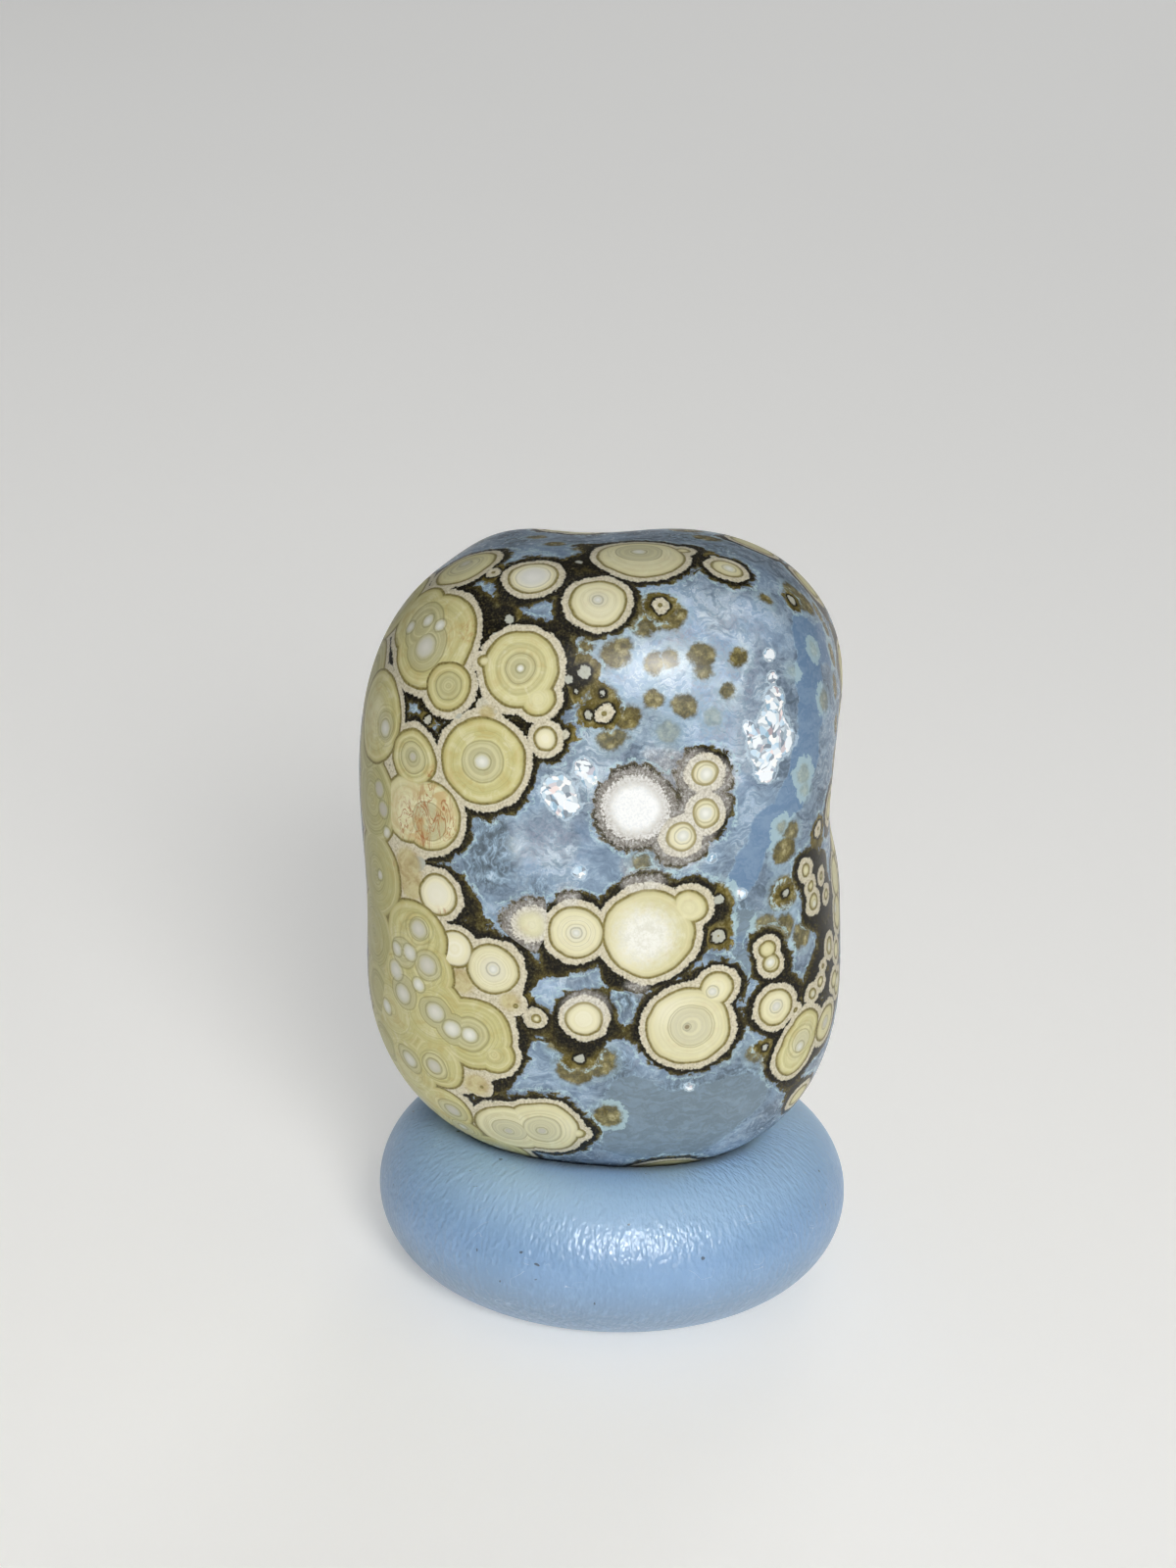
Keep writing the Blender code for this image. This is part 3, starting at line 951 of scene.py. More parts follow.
lay_orbs(tries=260, smallest=0.9, largest=2.5, loners=1.0)
lay_orbs(tries=700, smallest=-0.1, largest=0.9, loners=0.12)
lay_spots(tries=420)
print(len(orbs), "orbs,", len(hearts), "hearts,", len(eyes), "eyes and", len(spots), "spots in all")

# %% [markdown]
# ## Telling every face which orbs are near
# A shader can measure the distance to a sphere exactly, but not to hundreds of them at once. So each face
# of the mesh stores only the few orbs that can show on it, as face attributes: a centre, and the orb's
# numbers. The shader then measures to those, and a line a tenth of a millimetre wide stays sharp on a much
# coarser mesh.

# %% Slots
# For each kind: how many slots a face has, and how far in mm outside its outline a ball can still show.
SLOTS = {"orb": (6, 2.2), "heart": (4, 0.7), "eye": (3, 0.4), "spot": (4, 0.5)}
NEAR = 0.45  # mm: half a face across, with room for the outlines' wander
EMPTY = (0.0, 0.0, 0.0, -1000.0, JOINED, 0.0)
FIRST = -100.0  # mm, added to the gap of a ball that must be kept
OUT = 900.0  # mm, the gap given to a ball that can't show
face_centres = pebble_points[pebble_faces].mean(1)


def nearest_balls(balls, count, shown_to):
    """For each face, the balls with the smallest gap to it, in the order in which they were laid down."""
    balls = np.array([*balls, EMPTY])
    gaps = np.linalg.norm(face_centres[:, None, :] - balls[None, :, :3], axis=2) - balls[:, 3]
    hidden = gaps > shown_to + NEAR
    lies_over = balls[:, 4] == OVER
    for number in np.flatnonzero(lies_over):
        hidden[gaps[:, number] < -NEAR, :number] = True
    gaps[lies_over & (gaps < NEAR)] += FIRST
    gaps[hidden] = OUT
    chosen = np.sort(np.argsort(gaps, axis=1)[:, :count], axis=1)
    chosen[np.take_along_axis(gaps, chosen, axis=1) == OUT] = len(balls) - 1
    left_out = int(((gaps < shown_to).sum(1) > count).sum())
    return balls[chosen], left_out


def store(mesh, name, values, domain):
    """Stores one number or one vector for each point or face of the mesh."""
    kind, field = ("FLOAT_VECTOR", "vector") if values.ndim == 2 else ("FLOAT", "value")
    made = mesh.attributes.new(name, kind, domain)
    made.data.foreach_set(field, np.ascontiguousarray(values, np.float32).ravel())


def store_balls(mesh):
    for kind, balls in {"orb": orbs, "heart": hearts, "eye": eyes, "spot": spots}.items():
        count, shown_to = SLOTS[kind]
        chosen, left_out = nearest_balls(balls, count, shown_to)
        for slot in range(count):
            store(mesh, f"{kind}_{slot}_centre", chosen[:, slot, :3], "FACE")
            store(mesh, f"{kind}_{slot}_numbers", chosen[:, slot, 3:], "FACE")
        print(kind, "slots:", count, "- faces with more near than that:", left_out)


print(len(face_centres), "faces, each with", sum(count for count, _ in SLOTS.values()), "slots")

# %% Zones behind
BEHIND_LIMIT = -0.05  # the cosine below which a place lies behind

# How many blobs of each zone lie behind, and their usual reach in mm.
BACK_ZONES = {
    "milky": (9, 2.4), "dark": (7, 2.0), "clear": (7, 2.2), "druse": (8, 0.7), "ash": (3, 0.9),
    "ink": (12, 1.0), "filled": (2, 0.7), "cream": (5, 1.0), "rust": (2, 0.6),
}  # fmt: skip


def blobs_behind(count, reach):
    """Places behind with a reach and a strength each, by chance."""
    found = []
    while len(found) < count:
        place = on_pebble(random_direction())[0]
        if facing(place) < BEHIND_LIMIT:
            found.append((place, reach * CHANCE.uniform(0.7, 1.3), CHANCE.uniform(0.7, 1.0)))
    return found


back_blobs = {zone: blobs_behind(count, reach) for zone, (count, reach) in BACK_ZONES.items()}


def store_zones(mesh):
    for zone, blobs in FRONT_ZONES.items():
        mask = np.zeros(len(pebble_points))
        front = [(aim(x, y), reach, strength) for x, y, reach, strength in blobs.values()]
        for place, reach, strength in [*front, *back_blobs[zone]]:
            apart = np.linalg.norm(pebble_points - place, axis=1)
            mask += (1.0 - mask) * strength * np.exp(-((apart / reach) ** 2))
        store(mesh, zone, mask, "POINT")


print("blobs behind:", {zone: len(blobs) for zone, blobs in back_blobs.items()})

# %% [markdown]
# ## The nearest ball, as a node group
# The group compares one ball with the best one so far and passes on the winner. What it hands along is a
# state of three numbers: the gap to the winner's outline (negative inside it), its radius, and its tone.
# Chaining the group once for each slot gives the ball that shows at the point.

# %% Group: nearer ball
def new_group(name, inputs, outputs):
    """(bench, inputs by name, the output node's sockets, the group) for a new group. Its inputs and outputs
    are given as name: kind, and the kind is Vector, Color or Float."""
    group = bpy.data.node_groups.new(name, "ShaderNodeTree")
    for side, sockets in (("INPUT", inputs), ("OUTPUT", outputs)):
        for label, kind in sockets.items():
            group.interface.new_socket(name=label, in_out=side, socket_type=f"NodeSocket{kind}")
    bench = Bench(group)
    sources = group.nodes.new("NodeGroupInput").outputs
    given = {label: Signal(bench, socket) for label, socket in zip(inputs, sources)}
    return bench, given, group.nodes.new("NodeGroupOutput").inputs, group


def nearer_ball_group():
    inputs = {"Point": "Vector", "Best": "Vector", "Centre": "Vector", "Numbers": "Vector"}
    bench, given, results, group = new_group("nearer ball", inputs, {"Best": "Vector"})
    radius, meets, tone = given["Numbers"].parts()
    best_gap = given["Best"].parts()[0]
    gap = bench.vector_math("DISTANCE", {0: given["Point"], 1: given["Centre"]}, "Value") - radius
    wins = bench.math("LESS_THAN", gap, bench.math("MAXIMUM", best_gap, meets))
    winner = bench.mix(wins, given["Best"], bench.packed(gap, radius, tone), kind="VECTOR")
    bench.feed(results["Best"], winner)
    return group


NEARER_BALL = nearer_ball_group()
START = (50.0, 1.0, 0.0)  # a gap far larger than any, a radius and a tone


def shown_ball(bench, kind, point):
    """Chains the group over one kind's slots: (gap, radius, tone) of the ball that shows."""
    count, _ = SLOTS[kind]
    best = START
    for slot in range(count):
        inputs = {
            "Point": point,
            "Best": best,
            "Centre": bench.stored(f"{kind}_{slot}_centre"),
            "Numbers": bench.stored(f"{kind}_{slot}_numbers"),
        }
        best = bench.make("ShaderNodeGroup", None, inputs, "Best", node_tree=NEARER_BALL)
    return best.parts()


print("group made:", NEARER_BALL.name)

# %% [markdown]
# ## The stone's finish
# From the bottom up: blue chalcedony with its zones, moss spots, the dark crust, the grainy rim, the yellow
# body with growth rings, the heart, the eye, and the brown outline. Each layer is a colour mixed over the
# last by a mask that depends on the gap to an outline. All layers share a few noises: one sways the
# outlines so that no orb is a true ball, one is the grain of the stone, and one stains it in large soft
# patches.

# %% Shared noises
ORB_SWAY, MOSS_SWAY = 0.34, 0.5  # mm, how far the outlines of orbs and of moss sway
stone_material, bench, shader = new_material("orb_agate")
point = bench.object_point()
wander = bench.noise(point, 0.55, output="Color") - 0.5
ripple = bench.noise(point, 3.0, output="Color") - 0.5
orb_point = point + wander * ORB_SWAY + ripple * 0.04
moss_point = point + wander * MOSS_SWAY + ripple * 0.35
grit = bench.noise(point, 9.0, detail=3.0, roughness=0.65)
coarse = bench.noise(point, 3.2, detail=4.0, roughness=0.7)
stain = bench.noise(point, 1.3, detail=5.0, roughness=0.6, distortion=0.8)


def tell(layer):
    print(f"{layer}: {len(stone_material.node_tree.nodes)} nodes so far")


tell("noises")

# %% The balls that show
FUZZY_FROM = 1.6  # a tone above this is that of a fuzzy orb
gap, radius, tone = shown_ball(bench, "orb", orb_point)
heart_gap, heart_radius, heart_tone = shown_ball(bench, "heart", orb_point)
eye_gap, eye_radius, eye_tone = shown_ball(bench, "eye", point + ripple * 0.1)
spot_gap, _, spot_tone = shown_ball(bench, "spot", moss_point)
fuzzy = bench.math("GREATER_THAN", tone, FUZZY_FROM)
pale = (tone - fuzzy * FUZZY).clamped()
green = (-tone).clamped()
tell("balls")

# %% [markdown]
# ## Blue chalcedony
# Between the orbs the stone is fine fibrous quartz: milky where it is full of tiny pores, clear where it
# has few, and slate where dark stone lies below. A plain noise looks like smoke, so the place is warped
# first by another noise. That curls the wisps, as in a gel that flowed before it set.

# %% Noises of the ground
zones = {zone: bench.stored(zone, "Fac") for zone in FRONT_ZONES}
warped = point + (bench.noise(point, 0.5, detail=3.0, roughness=0.6, output="Color") - 0.5) * 3.0
cloud = bench.noise(point, 0.35, detail=3.0)
swirl = bench.noise(warped, 0.6, detail=7.0, roughness=0.62, distortion=0.6)
silk = bench.noise(warped * (0.7, 0.7, 2.2), 1.5, detail=5.0, roughness=0.62, distortion=0.5)
frost = bench.noise(point, 5.5, detail=5.0, roughness=0.75)
streaks = bench.noise(warped * (1.6, 1.6, 0.5), 1.9, detail=6.0, roughness=0.72)
tell("ground noises")

# %% Milk: soft silky wisps, from slate blue to nearly white
milky = zones["milky"]
clear = (zones["clear"] + (swirl - 0.5) * 0.6 + (frost - 0.5) * 0.1).rise(0.42, 0.5)
haze = milky * 0.34 + (swirl - 0.5) * 0.8 + (silk - 0.5) * 0.9
haze = haze + (frost - 0.5) * 0.45 + (cloud - 0.5) * 0.5 + 0.4
thin_milk = ((0.0, "4A5862"), (0.25, "69798A"), (0.5, "8A9EB1"))
thick_milk = ((0.72, "AFC2D2"), (0.9, "D0DDE6"), (1.0, "ECF1F4"))
ground = bench.ramp(haze, *thin_milk, *thick_milk)
ground = bench.mix(cloud.rise(0.46, 0.6) * (milky * 0.35 + 0.15), ground, "8DB0D8")
veins = silk.near(0.52, 0.035) * swirl.rise(0.4, 0.6) * (milky * 0.6 + 0.25)
ground = bench.mix(veins, ground, "E3ECF1")
lavender = milky * swirl.rise(0.56, 0.4) * frost.rise(0.42, 0.56)
ground = bench.mix(lavender * 0.6, ground, "9F9DAE")
tell("milk")

# %% Clear: even blue, and greyer where the stone is dark below
window = bench.mix(zones["dark"].rise(0.08, 0.4), "6C89AA", "758691")
window = bench.mix((silk + (frost - 0.5) * 0.3).rise(0.42, 0.62) * 0.35, window, "8CA4BC")
ground = bench.mix(clear * 0.88, ground, window)
ground = bench.mix(clear.near(0.5, 0.5) * frost.rise(0.4, 0.6) * 0.6, ground, "A9C7DA")
tell("clear")

# %% Dark: slate with upright streaks of light
slates = ((0.36, "454E53"), (0.46, "5F6D77"), (0.55, "8299AC"), (0.63, "AFC8DC"), (0.72, "D5E3EC"))
slate = bench.ramp(streaks, *slates)
ground = bench.mix(zones["dark"].rise(0.2, 0.65) * (1.0 - clear) * 0.85, ground, slate)
tell("dark")

# %% Ash: pale grains round the whitest orbs
flour = ((0.38, "6C6A69"), (0.47, "96979A"), (0.55, "B5B8BC"), (0.62, "DFE3E5"))
ash = (zones["ash"] * 1.2 + (swirl - 0.5) * 1.6).rise(0.4, 1.0)
ground = bench.mix(ash * 0.8, ground, bench.ramp(frost * 0.7 + swirl * 0.3, *flour))
tell("ash")

# %% [markdown]
# ## Druse
# Where a hollow was left, clear quartz points grew into it. Cut and polished, they are a patch of small
# facets that each catch the light in their own way. Closed cells with a random brightness paint those glints
# into the colour, over the quartz's own pale grey, with a few larger ones among them.

# %% Druse: small quartz facets
patch = zones["druse"] + (swirl - 0.5) * 1.0 + (frost - 0.5) * 0.25
grains = warped * 0.5 + point * 0.5
light, tint, spark = bench.cells(grains, 4.0).parts()
# The white, cyan and pink facet colours are partly painted glints.
facet = bench.ramp(light, (0.15, "8793A0"), (0.4, "B4C2CE"), (0.6, "DCE8EF"), (0.75, "FFFFFF"))
facet = bench.mix(tint.rise(0.62, 0.75) * 0.5, facet, "9CCDEB")
facet = bench.mix(spark.rise(0.86, 0.92) * 0.4, facet, "E3BDBB")
big_light = bench.cells(grains, 1.7).parts()[0] + (zones["druse"] - 0.75) * 0.5
big_walls = bench.cells(grains, 1.7, feature="DISTANCE_TO_EDGE", output="Distance")
facet = bench.mix(big_light.rise(0.62, 0.66) * big_walls.rise(0.02, 0.07), facet, "F4FAFF")
inside = patch.rise(0.39, 0.45)
ground = bench.mix(patch.near(0.34, 0.1) * 0.6, ground, "CFE3EF")
ground = bench.mix(inside, ground, facet)
glitter = inside * bench.math("MAXIMUM", light, big_light).rise(0.5, 0.8)
tell("druse")

# %% [markdown]
# ## Moss and crust
# Tiny round growths of green and brown clay float in the chalcedony. The same matter coats the orbs as a
# dark crust: black by the rim, olive and broken further out, and grey gravel in the ashy places. Both get
# their mask from the gap to an outline, with grit added so that the edge is as ragged as a growth's.

# %% Moss: olive lumps, mottled with gold, with a thin pale veil round them
moss_edge = spot_gap + (grit - 0.5) * 0.22 + (coarse - 0.5) * 0.3
lumps = bench.cells(moss_point, 2.2, output="Distance")
moss = ((0.3, "473D17"), (0.44, "695D2A"), (0.56, "8A7E48"), (0.68, "B4AA7C"))
moss_colour = bench.ramp(grit * 0.4 + coarse * 0.4 + lumps.rise(0.8, 0.1) * 0.2, *moss)
moss_colour = bench.mix(moss_edge.near(-0.05, 0.16) * 0.4, moss_colour, "4D471D")
ghost = bench.ramp(coarse, (0.35, "8A9E9E"), (0.65, "BCCBC6"))
moss_colour = bench.mix(spot_tone.rise(0.4, 0.9), moss_colour, ghost)
veil = (moss_edge + (coarse - 0.5) * 0.5).rise(0.3, 0.26) * (clear * 0.5 + 0.2)
colour = bench.mix(veil, ground, "B3CDD2")
colour = bench.mix(moss_edge.rise(0.07, -0.18) * (0.95 - spot_tone * 0.4), colour, moss_colour)
tell("moss")

# %% The crust's reach
RIM, CRUST = 0.3, 0.36  # mm, how wide the rim and the crust usually are
ashy = bench.math("MAXIMUM", zones["ash"].rise(0.3, 0.6), fuzzy)
filled = zones["filled"]
reach = CRUST + zones["ink"] * 0.9 + ashy * 0.16 + (coarse - 0.5) * 0.5 + (stain - 0.5) * 0.9
bumps = (bench.noise(point, 4.5) - 0.5) * 0.14 + (grit - 0.5) * (0.16 + fuzzy * 0.4)
outside = gap - RIM - (stain - 0.5) * 0.3 - ashy * 0.06 - filled * 0.8 - bumps
beyond = outside - reach + (grit - 0.5) * 0.3
share = outside / bench.math("MAXIMUM", reach, 0.1)
tell("crust's reach")

# %% The crust: black by the rim, and olive and broken further out
black = bench.ramp(grit, (0.38, "11100D"), (0.55, "242118"), (0.68, "4B4529"))
olives = ((0.35, "221D10"), (0.5, "4A4222"), (0.62, "6E6638"), (0.7, "77908F"))
olive = bench.ramp(grit * 0.5 + coarse * 0.5, *olives)
crust = bench.mix((share + (coarse - 0.5) * 0.8).rise(0.4, 0.9), black, olive)
mossy = radius.rise(0.3, 0.15) * outside.rise(0.06, 0.18) * (1.0 - zones["ink"].rise(0.2, 0.6))
crust = bench.mix(mossy * 0.8, crust, moss_colour)
gravel = bench.ramp(grit * 0.6 + coarse * 0.4, (0.36, "6B665F"), (0.5, "97938D"), (0.64, "CCCDCB"))
broken = share.near(0.75, 0.36) * (stain + (grit - 0.5) * 0.8).rise(0.4, 0.48)
gravel = bench.mix(broken * 0.95, gravel, bench.ramp(grit, (0.4, "1C1917"), (0.65, "57502F")))
crust = bench.mix(ashy * 0.9, crust, gravel)
tell("crust")

# %% A pale fringe beyond the crust
fringe = beyond.rise(0.3, 0.04) * (coarse + (grit - 0.5) * 0.5).rise(0.45, 0.58) * stain.rise(0.4, 0.55)
colour = bench.mix(fringe * 0.8, colour, "BFD6DE")
thread = (beyond + (coarse - 0.5) * 0.5).near(0.16, 0.05) * stain.rise(0.4, 0.5)
colour = bench.mix(thread * 0.7, colour, "B4D2D6")
colour = bench.mix(beyond.rise(0.05, -0.06), colour, crust)
tell("fringe")

# %% [markdown]
# ## Rim
# A thin shell of pale quartz grains lies round every orb, and joined orbs share it. In a few narrow gaps
# between orbs it is yellow. It is laid as a flat band, because the polish cuts it level.

# %% Rim: pale and grainy, and grey where only the top of an orb is cut
grey_grain = bench.math("LESS_THAN", radius, 0.09) * pale
rim = bench.ramp(grit, (0.3, "ADA58A"), (0.5, "D0C9B0"), (0.7, "E2DECD"))
rim = bench.mix(grey_grain * 0.7, rim, "A9B1AB")
whitened = bench.math("MAXIMUM", ashy * 0.5, fuzzy * pale)
rim = bench.mix(whitened, rim, bench.ramp(grit, (0.35, "B9B6B0"), (0.6, "E6E6E4")))
rim = bench.mix(filled.rise(0.3, 0.7) * 0.8, rim, bench.ramp(stain, (0.4, "C9C08C"), (0.6, "A9925A")))
rim = bench.mix(outside.near(0.0, 0.08) * 0.4, rim, "8B8672")
colour = bench.mix(outside.rise(0.02, -0.02), colour, rim)
tell("rim")

# %% [markdown]
# ## Body, heart and eye
# An orb grew outwards ring by ring, so its colour depends mostly on the depth below its outline. A noise
# along that one line gives the rings, and the orb's radius shifts it, so that no two orbs have the same
# rings. The heart and the eye are smaller balls inside, made in the same way.

# %% Body: yellow with faint growth rings, and patches of cream
depth = coarse * 0.05 - gap + radius * 13.7
bands = bench.noise(None, 3.5, detail=4.0, roughness=0.7, w=depth)
hairlines = bench.noise(None, 6.5, detail=1.0, w=depth + 31.0).near(0.5, 0.05)
body = bench.ramp(bands, (0.3, "C0BA80"), (0.5, "CAC58A"), (0.7, "D4D098"))
middle = (0.0 - gap) / radius
body = bench.mix(middle.rise(0.25, 0.85) * (1.0 - green) * 0.45, body, "E8E4BE")
body = bench.mix(stain.rise(0.5, 0.66) * 0.45, body, "BFA964")
body = bench.mix(stain.rise(0.48, 0.32) * 0.5, body, "E4E1C0")
body = bench.mix(green * 0.7, body, bench.ramp(bands, (0.3, "A5A371"), (0.7, "BAB784")))
body = bench.mix(hairlines * (green * 0.5 + 0.14), body, "958F5C")
body = bench.mix(zones["cream"] * 0.75, body, "EFECD2")
body = bench.mix(pale, body, bench.ramp(bands, (0.3, "EAE6C6"), (0.7, "F3F0DC")))
body = bench.mix(gap.near(-0.34, 0.16) * 0.3, body, "E8E3B8")
tell("body")

# %% Heart: thin olive rings, fading into the body
inward = coarse * 0.03 - heart_gap + heart_radius * 17.3
rings = bench.noise(None, 5.5, detail=2.0, w=inward)
echo = bench.noise(None, 5.0, detail=0.0, w=inward + 9.0).near(0.5, 0.05) * heart_gap.rise(0.65, 0.1)
body = bench.mix(echo * heart_gap.rise(-0.1, 0.05) * 0.4, body, "89844F")
heart = bench.ramp(rings, (0.3, "A19D70"), (0.5, "B7B485"), (0.7, "C9C698"))
heart = bench.mix(rings.near(0.5, 0.05) * 0.35, heart, "7A754A")
heart = bench.mix(heart_tone, heart, "EAE8D6")
body = bench.mix(heart_gap.rise(0.08, -0.16) * 0.7, body, heart)
body = bench.mix(heart_gap.near(0.0, 0.06) * (1.0 - heart_tone) * 0.7, body, "857F52")
tell("heart")

# %% Eye: a soft white bead in a faint dark ring, or a cloud where it is big
spread = eye_radius.rise(0.5, 1.2)
glow = eye_gap / eye_radius + (coarse - 0.5) * (0.12 + spread * 1.1)
body = bench.mix(eye_gap.near(0.05, 0.07) * (1.0 - spread) * 0.45, body, "75755A")
eye = bench.mix(eye_tone, "7A5A26", "ECEDE6")
eye = bench.mix(glow.rise(-0.3, -0.9) * eye_tone, bench.mix(0.35 - spread * 0.3, eye, "A9AD97"), eye)
mottled = (coarse * 0.5 + stain * 0.5 + (grit - 0.5) * 0.4).rise(0.4, 0.6)
eye = bench.mix(spread, eye, "FAFCFB")
eye = bench.mix(spread * (1.0 - mottled) * 0.5, eye, "CDCDBE")
body = bench.mix((glow - spread * 0.15).rise(0.12, -0.4 - spread * 0.3) * (0.95 - spread * 0.2), body, eye)
tell("eye")

# %% [markdown]
# ## Rust, frost and outline
# Iron has stained a few orbs, most of all one with upright cracks. A fuzzy orb is white frost all through,
# like a snowball, and every other orb ends in a soft olive line. These lie over the body, so they come
# last.

# %% Rust veins
cracks = bench.noise(point * (1.6, 1.6, 0.55), 1.0, detail=3.0, distortion=1.0)
cracks = bench.math("MAXIMUM", cracks.near(0.5, 0.03), cracks.near(0.58, 0.02))
body = bench.mix(zones["rust"] * stain.rise(0.45, 0.6) * 0.6, body, "C49A5E")
body = bench.mix(cracks * zones["rust"].rise(0.2, 0.6) * 0.8, body, "A5602E")
tell("rust")

# %% Frost in the fuzzy orbs, and a soft edge on the others
snow = bench.mix((gap + (coarse - 0.5) * 0.5).rise(0.15, -0.4), "D9D8D2", "F8FAFA")
snow = bench.mix(grit.rise(0.46, 0.6) * 0.25, snow, "C4CED6")
body = bench.mix(fuzzy * pale, body, snow)
body = bench.mix(gap.rise(-0.4, -0.12) * (1.0 - fuzzy) * 0.35, body, "B0A568")
tell("frost")

# %% Outline, and the whole orb over the ground
outline = bench.ramp(grit, (0.35, "665C2F"), (0.65, "968B53"))
outline = bench.mix(ashy * 0.6, outline, "AFA67E")
colour = bench.mix(gap.rise(0.03, -0.02) * (1.0 - fuzzy), colour, outline)
colour = bench.mix(gap.rise(-0.07 + fuzzy * 0.32, -0.19), colour, body)
tell("outline")

# %% [markdown]
# ## Painted shade where the stone and the ring touch
# The narrow gap round the seat is painted as a dark line on both pieces: the shade that falls into it. One
# node group lays it over the unshaded colour, and each material places the group with a shade colour and a
# strength of its own. How near a point is to the other piece is measured further down, and stored in each
# mesh.

# %% Group: painted contact shade
def contact_shade_group():
    inputs = {"Unshaded": "Color", "Shade": "Color", "Contact": "Float", "Strength": "Float"}
    bench, given, results, group = new_group("contact shade", inputs, {"Colour": "Color"})
    share = given["Contact"] * given["Strength"]
    bench.feed(results["Colour"], bench.mix(share, given["Unshaded"], given["Shade"]))
    return group


CONTACT_SHADE = contact_shade_group()


def with_contact_shade(bench, unshaded, shade_colour, strength):
    """The unshaded colour, with painted shade over it where the two pieces touch."""
    inputs = {"Unshaded": unshaded, "Shade": shade_colour, "Contact": bench.stored("contact", "Fac"), "Strength": strength}
    return bench.make("ShaderNodeGroup", None, inputs, "Colour", node_tree=CONTACT_SHADE)


print("group made:", CONTACT_SHADE.name)

# %% [markdown]
# ## Polish
# The stone is tumbled to a high gloss. The orbs stay a little duller than the glassy ground, and the
# brightest facets of the druse shine most. The grains stand out in the shading only, by less than a hair.

# %% Painted shade by the ring, polish and relief
STONE_IOR, STONE_SHEEN = 1.54, 0.15
STONE_RELIEF = 0.05  # mm
# Painted shade: darkens the stone along the gap where it sits in the ring.
colour = with_contact_shade(bench, colour, "15171A", 0.8)
bench.feed(shader.inputs["Base Color"], colour)
polish = bench.mix(outside.rise(0.0, 0.02), 0.36, coarse * 0.12 + 0.2, kind="FLOAT")
bench.feed(shader.inputs["Roughness"], bench.mix(glitter, polish, 0.12, kind="FLOAT"))
shader.inputs["IOR"].default_value = STONE_IOR
shader.inputs["Specular IOR Level"].default_value = STONE_SHEEN
add_relief(bench, shader, grit * 0.15 + glitter * 0.35, 0.3, STONE_RELIEF)
tell("polish")

# %% [markdown]
# ## The ring's shape
# The ring is soft rubber with an oval section. The pebble's weight presses a seat into it, so the fine mesh
# starts as a plain turned ring, and every point that would lie in the stone is let down to just under it.

# %% Ring mesh
RING_RADIUS, RING_HALF_WIDTH, RING_HALF_HEIGHT = 7.7, 4.26, 4.05  # mm
RING_STEPS, SECTION_STEPS = 320, 128
SEAT_CLEARANCE = 0.03  # mm, so that the two skins don't cut each other

around = np.linspace(0, 2 * math.pi, RING_STEPS, endpoint=False)
section = np.linspace(0, 2 * math.pi, SECTION_STEPS, endpoint=False)
turn, tilt = np.meshgrid(around, section, indexing="ij")
out = RING_RADIUS + RING_HALF_WIDTH * np.cos(tilt)
up = np.maximum(RING_MIDDLE_HEIGHT + RING_HALF_HEIGHT * np.sin(tilt), 0.0)
ring_points = np.stack([ring_middle.x + out * np.cos(turn), out * np.sin(turn), up], -1).reshape(-1, 3)
for number, (x, y, z) in enumerate(ring_points):
    if z > RING_MIDDLE_HEIGHT:
        hit = stone_tree.ray_cast(Vector((x, y, 0.0)), Vector((0.0, 0.0, 1.0)))[0]
        if hit is not None:
            ring_points[number, 2] = min(z, hit.z - SEAT_CLEARANCE)


def ring_number(i, j):
    """The number of the point at step i round the ring and step j round its section."""
    return (i % RING_STEPS) * SECTION_STEPS + j % SECTION_STEPS


ring_faces = []
for i in range(RING_STEPS):
    for j in range(SECTION_STEPS):
        corners = ((i, j), (i + 1, j), (i + 1, j + 1), (i, j + 1))
        ring_faces.append(tuple(ring_number(*corner) for corner in corners))
print("ring:", len(ring_faces), "faces, top", round(ring_points[:, 2].max(), 2), "mm")


# %% [markdown]
# ## How near the two pieces are
# The dark line of painted shade follows the gap between the pieces. So each mesh stores how near its points
# lie to the other one, and the contact shade group reads it. A shader could feel for edges with rays, but a
# stored number is exact.

# %% Contact
CONTACT_REACH = 0.32  # mm
ring_tree = BVHTree.FromPolygons(ring_points.tolist(), ring_faces)


def store_contact(mesh, points, other_tree):
    apart = np.array([other_tree.find_nearest(point)[3] for point in points.tolist()])
    contact = np.exp(-((apart / CONTACT_REACH) ** 2))
    store(mesh, "contact", contact, "POINT")
    print(mesh.name, "points in the contact line:", int((contact > 0.5).sum()))


# %% The pebble piece
pebble = new_piece("agate_pebble", pebble_points, pebble_faces.tolist(), stone_material)
store_balls(pebble.data)
store_zones(pebble.data)
store_contact(pebble.data, pebble_points, ring_tree)
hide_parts("pebble")
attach(pebble, "root")
print("piece:", pebble.name, len(pebble.data.polygons), "faces")

# %% [markdown]
# ## The ring's finish
# Handled rubber has a skin of fine short wrinkles that run over the ring, from the hole to the outside,
# with a few scuffs, hairs and dark specks. Its top is painted paler, as painted light from above, and its
# lower side greyer, as painted shade. The wrinkles need a direction, so the noise is read on a ring of its
# own: how far round, and how far over the section.


# %% Ring material
WRINKLES_ROUND, WRINKLES_OVER = 46.0, 10.0  # how fine the wrinkles are round the ring, and over its section
RING_RELIEF = 0.13  # mm


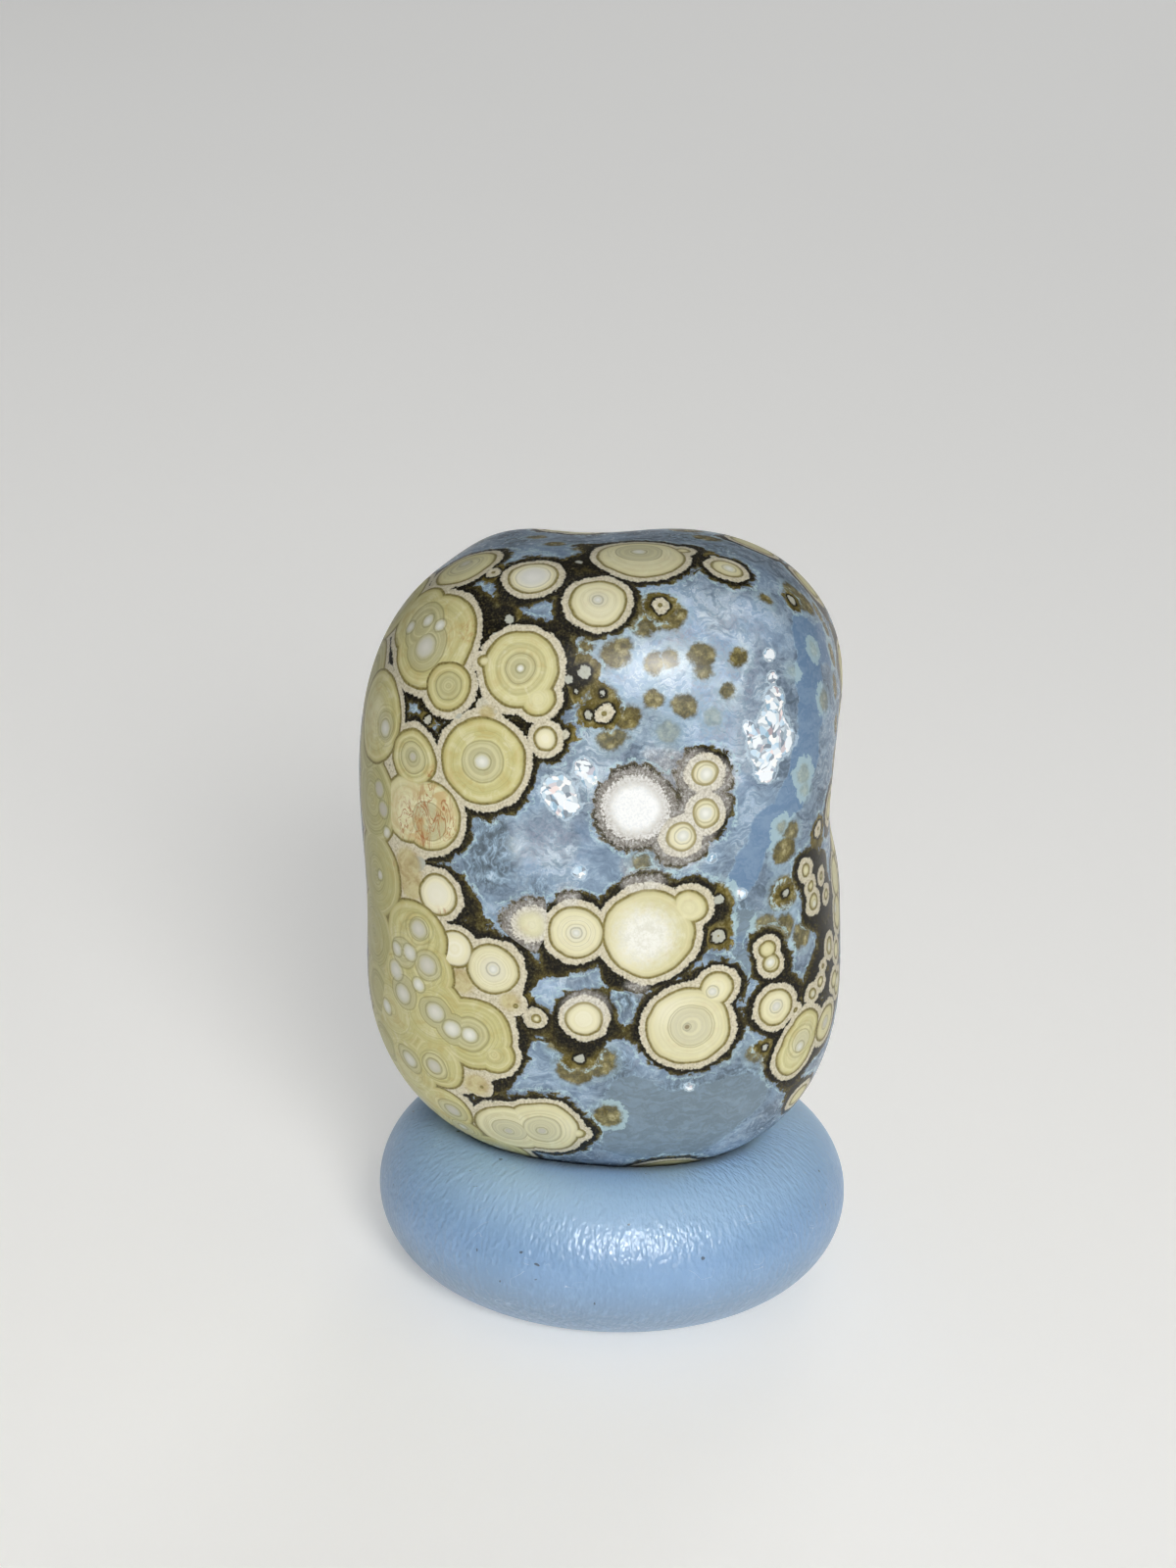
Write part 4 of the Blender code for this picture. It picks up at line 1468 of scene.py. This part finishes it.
def rubber_material():
    material, bench, shader = new_material("soft_rubber")
    point = bench.object_point()
    x, y, z = (point - tuple(ring_middle)).parts()
    reach = bench.math("SQRT", x * x + y * y)
    out = reach - RING_RADIUS
    thickness = bench.math("SQRT", out * out + z * z)
    turn_x, turn_y = x / reach, y / reach
    over_x, over_z = out / thickness, z / thickness
    along = bench.packed(turn_x * WRINKLES_ROUND, turn_y * WRINKLES_ROUND, over_x * WRINKLES_OVER)
    wrinkles = bench.noise(along, 1.0, detail=1.0, roughness=0.5, w=over_z * WRINKLES_OVER)
    skin = bench.noise(point, 4.5, detail=2.0)
    cloud = bench.noise(point, 0.35, detail=3.0)
    height = z / RING_HALF_HEIGHT
    # Painted light: the top of the ring is made paler, as if lit from above.
    painted_top_light = height.rise(0.2, 1.0)
    colour = bench.mix(cloud.rise(0.3, 0.7), "83A7CF", "88ACD6")
    # Painted shade: the lower side of the ring is made greyer and darker.
    colour = bench.mix(height.rise(0.2, -0.6), colour, "8299B2")
    colour = bench.mix(painted_top_light, colour, "AACEF0")
    colour = bench.mix(wrinkles.rise(0.5, 0.75) * 0.2, colour, "A9CBEA")
    colour = bench.mix(skin.rise(0.45, 0.3) * 0.05, colour, "6B8BAB")
    hairs = bench.noise(point, 0.4, detail=1.0, distortion=2.5).near(0.5, 0.0035)
    hairs = hairs * bench.noise(point, 0.7, detail=1.0).rise(0.58, 0.62)
    colour = bench.mix(hairs * 0.8, colour, "DCE8F2")
    specks = bench.noise(point, 2.6, detail=0.0).rise(0.845, 0.86)
    colour = bench.mix(specks * 0.8, colour, "3C4148")
    # Painted shade: darkens the ring along the gap where the stone sits in it.
    colour = with_contact_shade(bench, colour, "22303D", 0.75)
    bench.feed(shader.inputs["Base Color"], colour)
    bench.feed(shader.inputs["Roughness"], skin.rise(0.25, 0.75, 0.32, 0.42))
    shader.inputs["Specular IOR Level"].default_value = 0.8
    shader.inputs["Sheen Weight"].default_value = 0.3
    shader.inputs["Sheen Roughness"].default_value = 0.45
    shader.inputs["Sheen Tint"].default_value = paint("B9CFE6")
    add_relief(bench, shader, wrinkles * 0.85 + skin * 0.15, 1.0, RING_RELIEF)
    return material


ring = new_piece("rubber_ring", ring_points, ring_faces, rubber_material())
store_contact(ring.data, ring_points, stone_tree)
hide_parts("ring_stand")
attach(ring, "root")
print("piece:", ring.name, len(ring.data.polygons), "faces")
